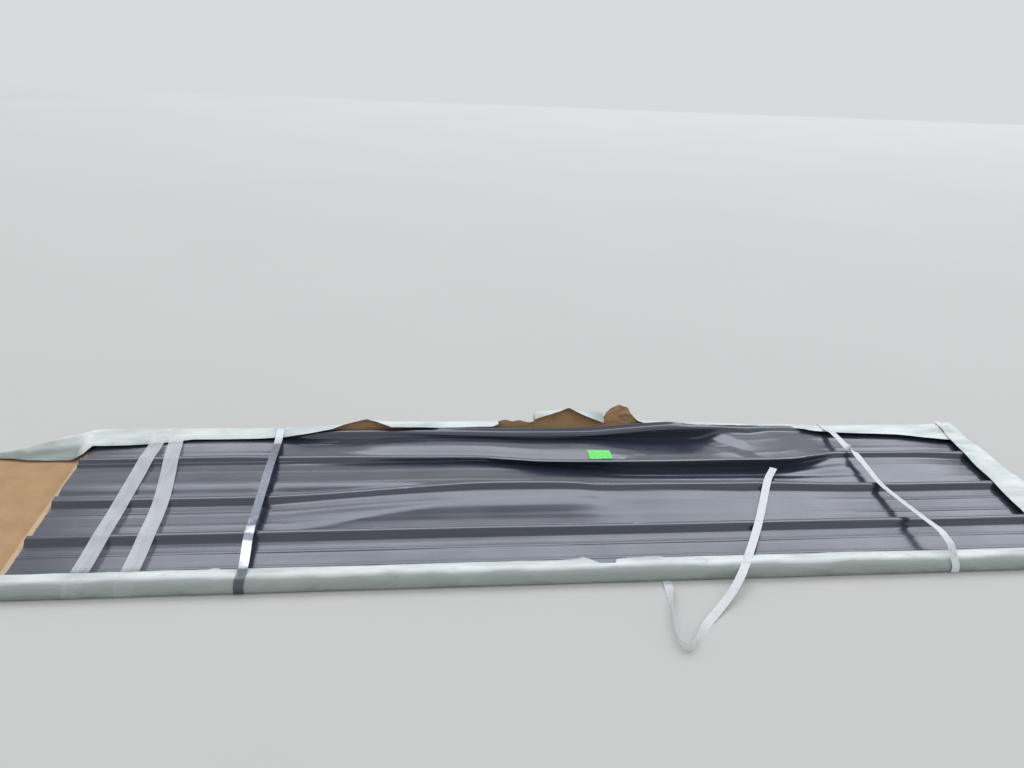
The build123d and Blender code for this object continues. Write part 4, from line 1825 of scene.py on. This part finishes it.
@dataclass
class BrokenStrap:
    """The cut strap, which lies on the sheets, loops on the ground and goes under the bundle.

    Its route, width, length and crown are in metres.
    """

    route: tuple[tuple[float, float, float], ...] = (
        (0.201, -0.452, 0.0004), (0.201, -0.486, 0.0004), (0.196, -0.530, 0.007), (0.183, -0.590, 0.0128),
        (0.170, -0.650, 0.0128), (0.159, -0.710, 0.0128), (0.153, -0.758, 0.0128), (0.160, -0.785, 0.0128),
        (0.178, -0.793, 0.0126), (0.200, -0.772, 0.011), (0.225, -0.734, 0.008), (0.262, -0.684, 0.004),
        (0.318, -0.626, 0.008), (0.372, -0.572, 0.022), (0.420, -0.510, 0.036), (0.462, -0.440, 0.039),
        (0.520, -0.340, 0.038), (0.570, -0.250, 0.0375), (0.632, -0.130, 0.043), (0.690, -0.014, 0.0505),
        (0.712, 0.026, 0.0505), (0.740, 0.068, 0.048), (0.764, 0.104, 0.046),
    )
    leans: tuple[float, ...] = (0, 0, 40, 85, 90, 90, 90, 90, 85, 70, 45, 20, 6, 0, 0, 0, 0, 0, 0, 0, 0, 0, 0)
    width: float = 0.0254
    crown: float = 0.0002
    thickness: float = 0.8
    length: float = 1.43
    divisions: int = 8

    def build(self, material: Material) -> Piece:
        """Args:
            material: The strap's paint.

        Returns:
            The finished piece.
        """
        path = route_points([Vector(point) for point in self.route], self.divisions)
        last = len(path) - 1
        turns = Track(tuple(enumerate(self.leans)), Flow.STRAIGHT)
        sides = []
        for index, point in enumerate(path):
            run = (path[min(index + 1, last)] - path[max(index - 1, 0)]).normalized()
            level = Vector((-run.y, run.x, 0)).normalized()
            lean = math.radians(turns.at(index / last * (len(self.leans) - 1)))
            sides.append(level * math.cos(lean) + run.cross(level) * math.sin(lean))
        bm = strip(path, sides, self.width, self.crown)
        strap = finish_piece(
            bm, "cut_white_strap", [material], Slot.WHITE, self.thickness, sharp_angle=45.0,
            replaced=["broken_strap"], unit=1.0,
        )
        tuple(self.route[0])
        return strap


@dataclass
class Label:
    """The bare green sticker, lying loosely on the buckled pan."""

    x: float = 147.0
    y: float = 236.0
    length: float = 86.0
    width: float = 60.0
    thickness: float = 0.25
    lift: float = 1.8
    curl_size: float = 16.0
    turn: float = 1.0

    def build(self, buckle: Buckle, material: Material) -> Piece:
        """Makes the label.

        Args:
            buckle: How the top sheet has moved.
            material: The sticker's paper.

        Returns:
            The finished piece.
        """
        turned = Matrix.Rotation(math.radians(self.turn), 2)

        def shape(along: float, across: float) -> Vector:
            """Gives the sticker's point at two shares.

            Args:
                along: The share of its length.
                across: The share of its width.

            Returns:
                The point.
            """
            off = turned @ Vector(((along - 0.5) * self.length, (across - 0.5) * self.width))
            point = buckle.seen_at(self.x + off.x, self.y + off.y)
            return point + Vector((0, 0, self.lift + rough(point.x, point.y, 3.0, self.curl_size)))

        bm = bmesh.new()
        add_grid(bm, 28, 16, shape)
        return finish_piece(
            bm, "green_sticker", [material], Slot.LABEL, self.thickness, offset=1.0, sharp_angle=50.0,
            replaced=["label"],
        )


@dataclass
class Studio:
    """The floor, the soft light and the camera."""

    floor_half: float = 22.0
    floor_middle: float = -9.0
    floor_gap: float = 0.0004
    lens: float = 30.64
    sensor: float = 36.0
    place: tuple[float, float, float] = (-0.5730, -2.5503, 1.5348)
    yaw: float = 7.77
    pitch: float = 23.293
    roll: float = 2.978
    sky: float = 0.8
    lamp_radiance: float = 2.5
    lamp_size: tuple[float, float] = (41.0, 13.2)
    lamp_place: tuple[float, float, float] = (10.0, 18.4, 18.6)
    lamp_tilt: float = -46.5
    lamp_colour: str = "EEF3FF"
    sky_colour: str = "F4F7FA"
    backdrop_colour: str = "D9DADB"
    farthest_seen: float = 200.0

    def build(self, floor_finish: StudioPaper) -> None:
        """Makes the whole studio and chooses the plain view transform.

        Args:
            floor_finish: The floor's finish.
        """
        self.lay_floor(floor_finish)
        self.light()
        self.set_camera()
        bpy.context.scene.view_settings.view_transform = "Standard"

    def lay_floor(self, floor_finish: StudioPaper) -> None:
        """Lays the pale floor just under the bundle.

        Args:
            floor_finish: The floor's finish.
        """
        bm = bmesh.new()
        bmesh.ops.create_grid(bm, x_segments=1, y_segments=1, size=self.floor_half)
        bmesh.ops.translate(bm, vec=(0, self.floor_middle, -self.floor_gap), verts=bm.verts)
        mesh = bpy.data.meshes.new("floor")
        bm.to_mesh(mesh)
        bm.free()
        mesh.materials.append(floor_finish.material())
        floor = bpy.data.objects.new("floor", mesh)
        bpy.context.scene.collection.objects.link(floor)

    def light(self) -> None:
        """Stands one long softbox behind the bundle, which the glossy sheets mirror, in a pale even world."""
        wide, high = self.lamp_size
        data = bpy.data.lights.new("long_softbox", "AREA")
        data.shape = "RECTANGLE"
        data.size, data.size_y = wide, high
        data.energy = self.lamp_radiance * math.pi * wide * high
        data.color = to_linear(self.lamp_colour)[:3]
        lamp = bpy.data.objects.new("long_softbox", data)
        lamp.location = self.lamp_place
        lamp.rotation_euler.x = math.radians(self.lamp_tilt)
        bpy.context.scene.collection.objects.link(lamp)
        world = bpy.data.worlds.new("studio_world")
        world.use_nodes = True
        bpy.context.scene.world = world
        tree = world.node_tree
        tree.nodes.clear()
        add = partial(add_node, tree)
        rays = add(Kind.LIGHT_PATH)
        seen = add(Kind.MATH, {0: rays["Is Camera Ray"], 1: rays["Is Glossy Ray"]}, operation="MAXIMUM")[0]
        shown = add(Kind.MATH, {0: seen, 1: rays["Is Transmission Ray"]}, operation="MAXIMUM")[0]
        lit = add(Kind.BACKGROUND, {"Color": self.sky_colour, "Strength": self.sky})[0]
        backdrop = add(Kind.BACKGROUND, {"Color": self.backdrop_colour, "Strength": 1.0})[0]
        mixed = add(Kind.MIX_SHADER, {0: shown, 1: lit, 2: backdrop})[0]
        add(Kind.WORLD, {"Surface": mixed})

    def set_camera(self) -> None:
        """Puts the camera where the photograph was taken from."""
        yaw, pitch, roll = (math.radians(angle) for angle in (self.yaw, self.pitch, self.roll))
        level = Vector((math.sin(yaw), math.cos(yaw), 0.0))
        right = Vector((math.cos(yaw), -math.sin(yaw), 0.0))
        ahead = level * math.cos(pitch) - Vector((0, 0, math.sin(pitch)))
        up = level * math.sin(pitch) + Vector((0, 0, math.cos(pitch)))
        turned_right = right * math.cos(roll) + up * math.sin(roll)
        turned_up = up * math.cos(roll) - right * math.sin(roll)
        data = bpy.data.cameras.new("photo_camera")
        data.sensor_fit = "HORIZONTAL"
        data.sensor_width = self.sensor
        data.lens = self.lens
        data.clip_end = self.farthest_seen
        camera = bpy.data.objects.new("photo_camera", data)
        axes = Matrix((turned_right, turned_up, -ahead)).transposed().to_4x4()
        camera.matrix_world = Matrix.Translation(Vector(self.place)) @ axes
        bpy.context.scene.collection.objects.link(camera)
        bpy.context.scene.camera = camera


def main() -> None:
    """Builds the studio and every piece, in order."""
    logging.basicConfig(level=logging.INFO, format="%(name)s: %(message)s")
    Studio().build(StudioPaper())
    steel, film, white = (finish.material() for finish in (PaintedSteel(), FilmTape(), WhiteStrapPaint()))
    buckle = Buckle()
    made = [
        TopSheet(buckle).build(steel),
        PaperWrap().build(CoatedPaper().material(), KraftPaper().material()),
        LeftTape().build(buckle, film),
        RightTape().build(buckle, film),
        SteelStrap().build(StrapSteel().material()),
        Seal().build(SealSteel().material()),
        SlackStrap().build(white),
        BrokenStrap().build(white),
        Label().build(buckle, FluorescentSticker().material()),
    ]
    for piece in made:
        LOG.info("%s: %d faces", piece.name, len(piece.data.polygons))
    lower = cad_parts["lower_sheets"]
    lower.data.materials.clear()
    lower.data.materials.append(steel)


if __name__ == "__main__":
    main()
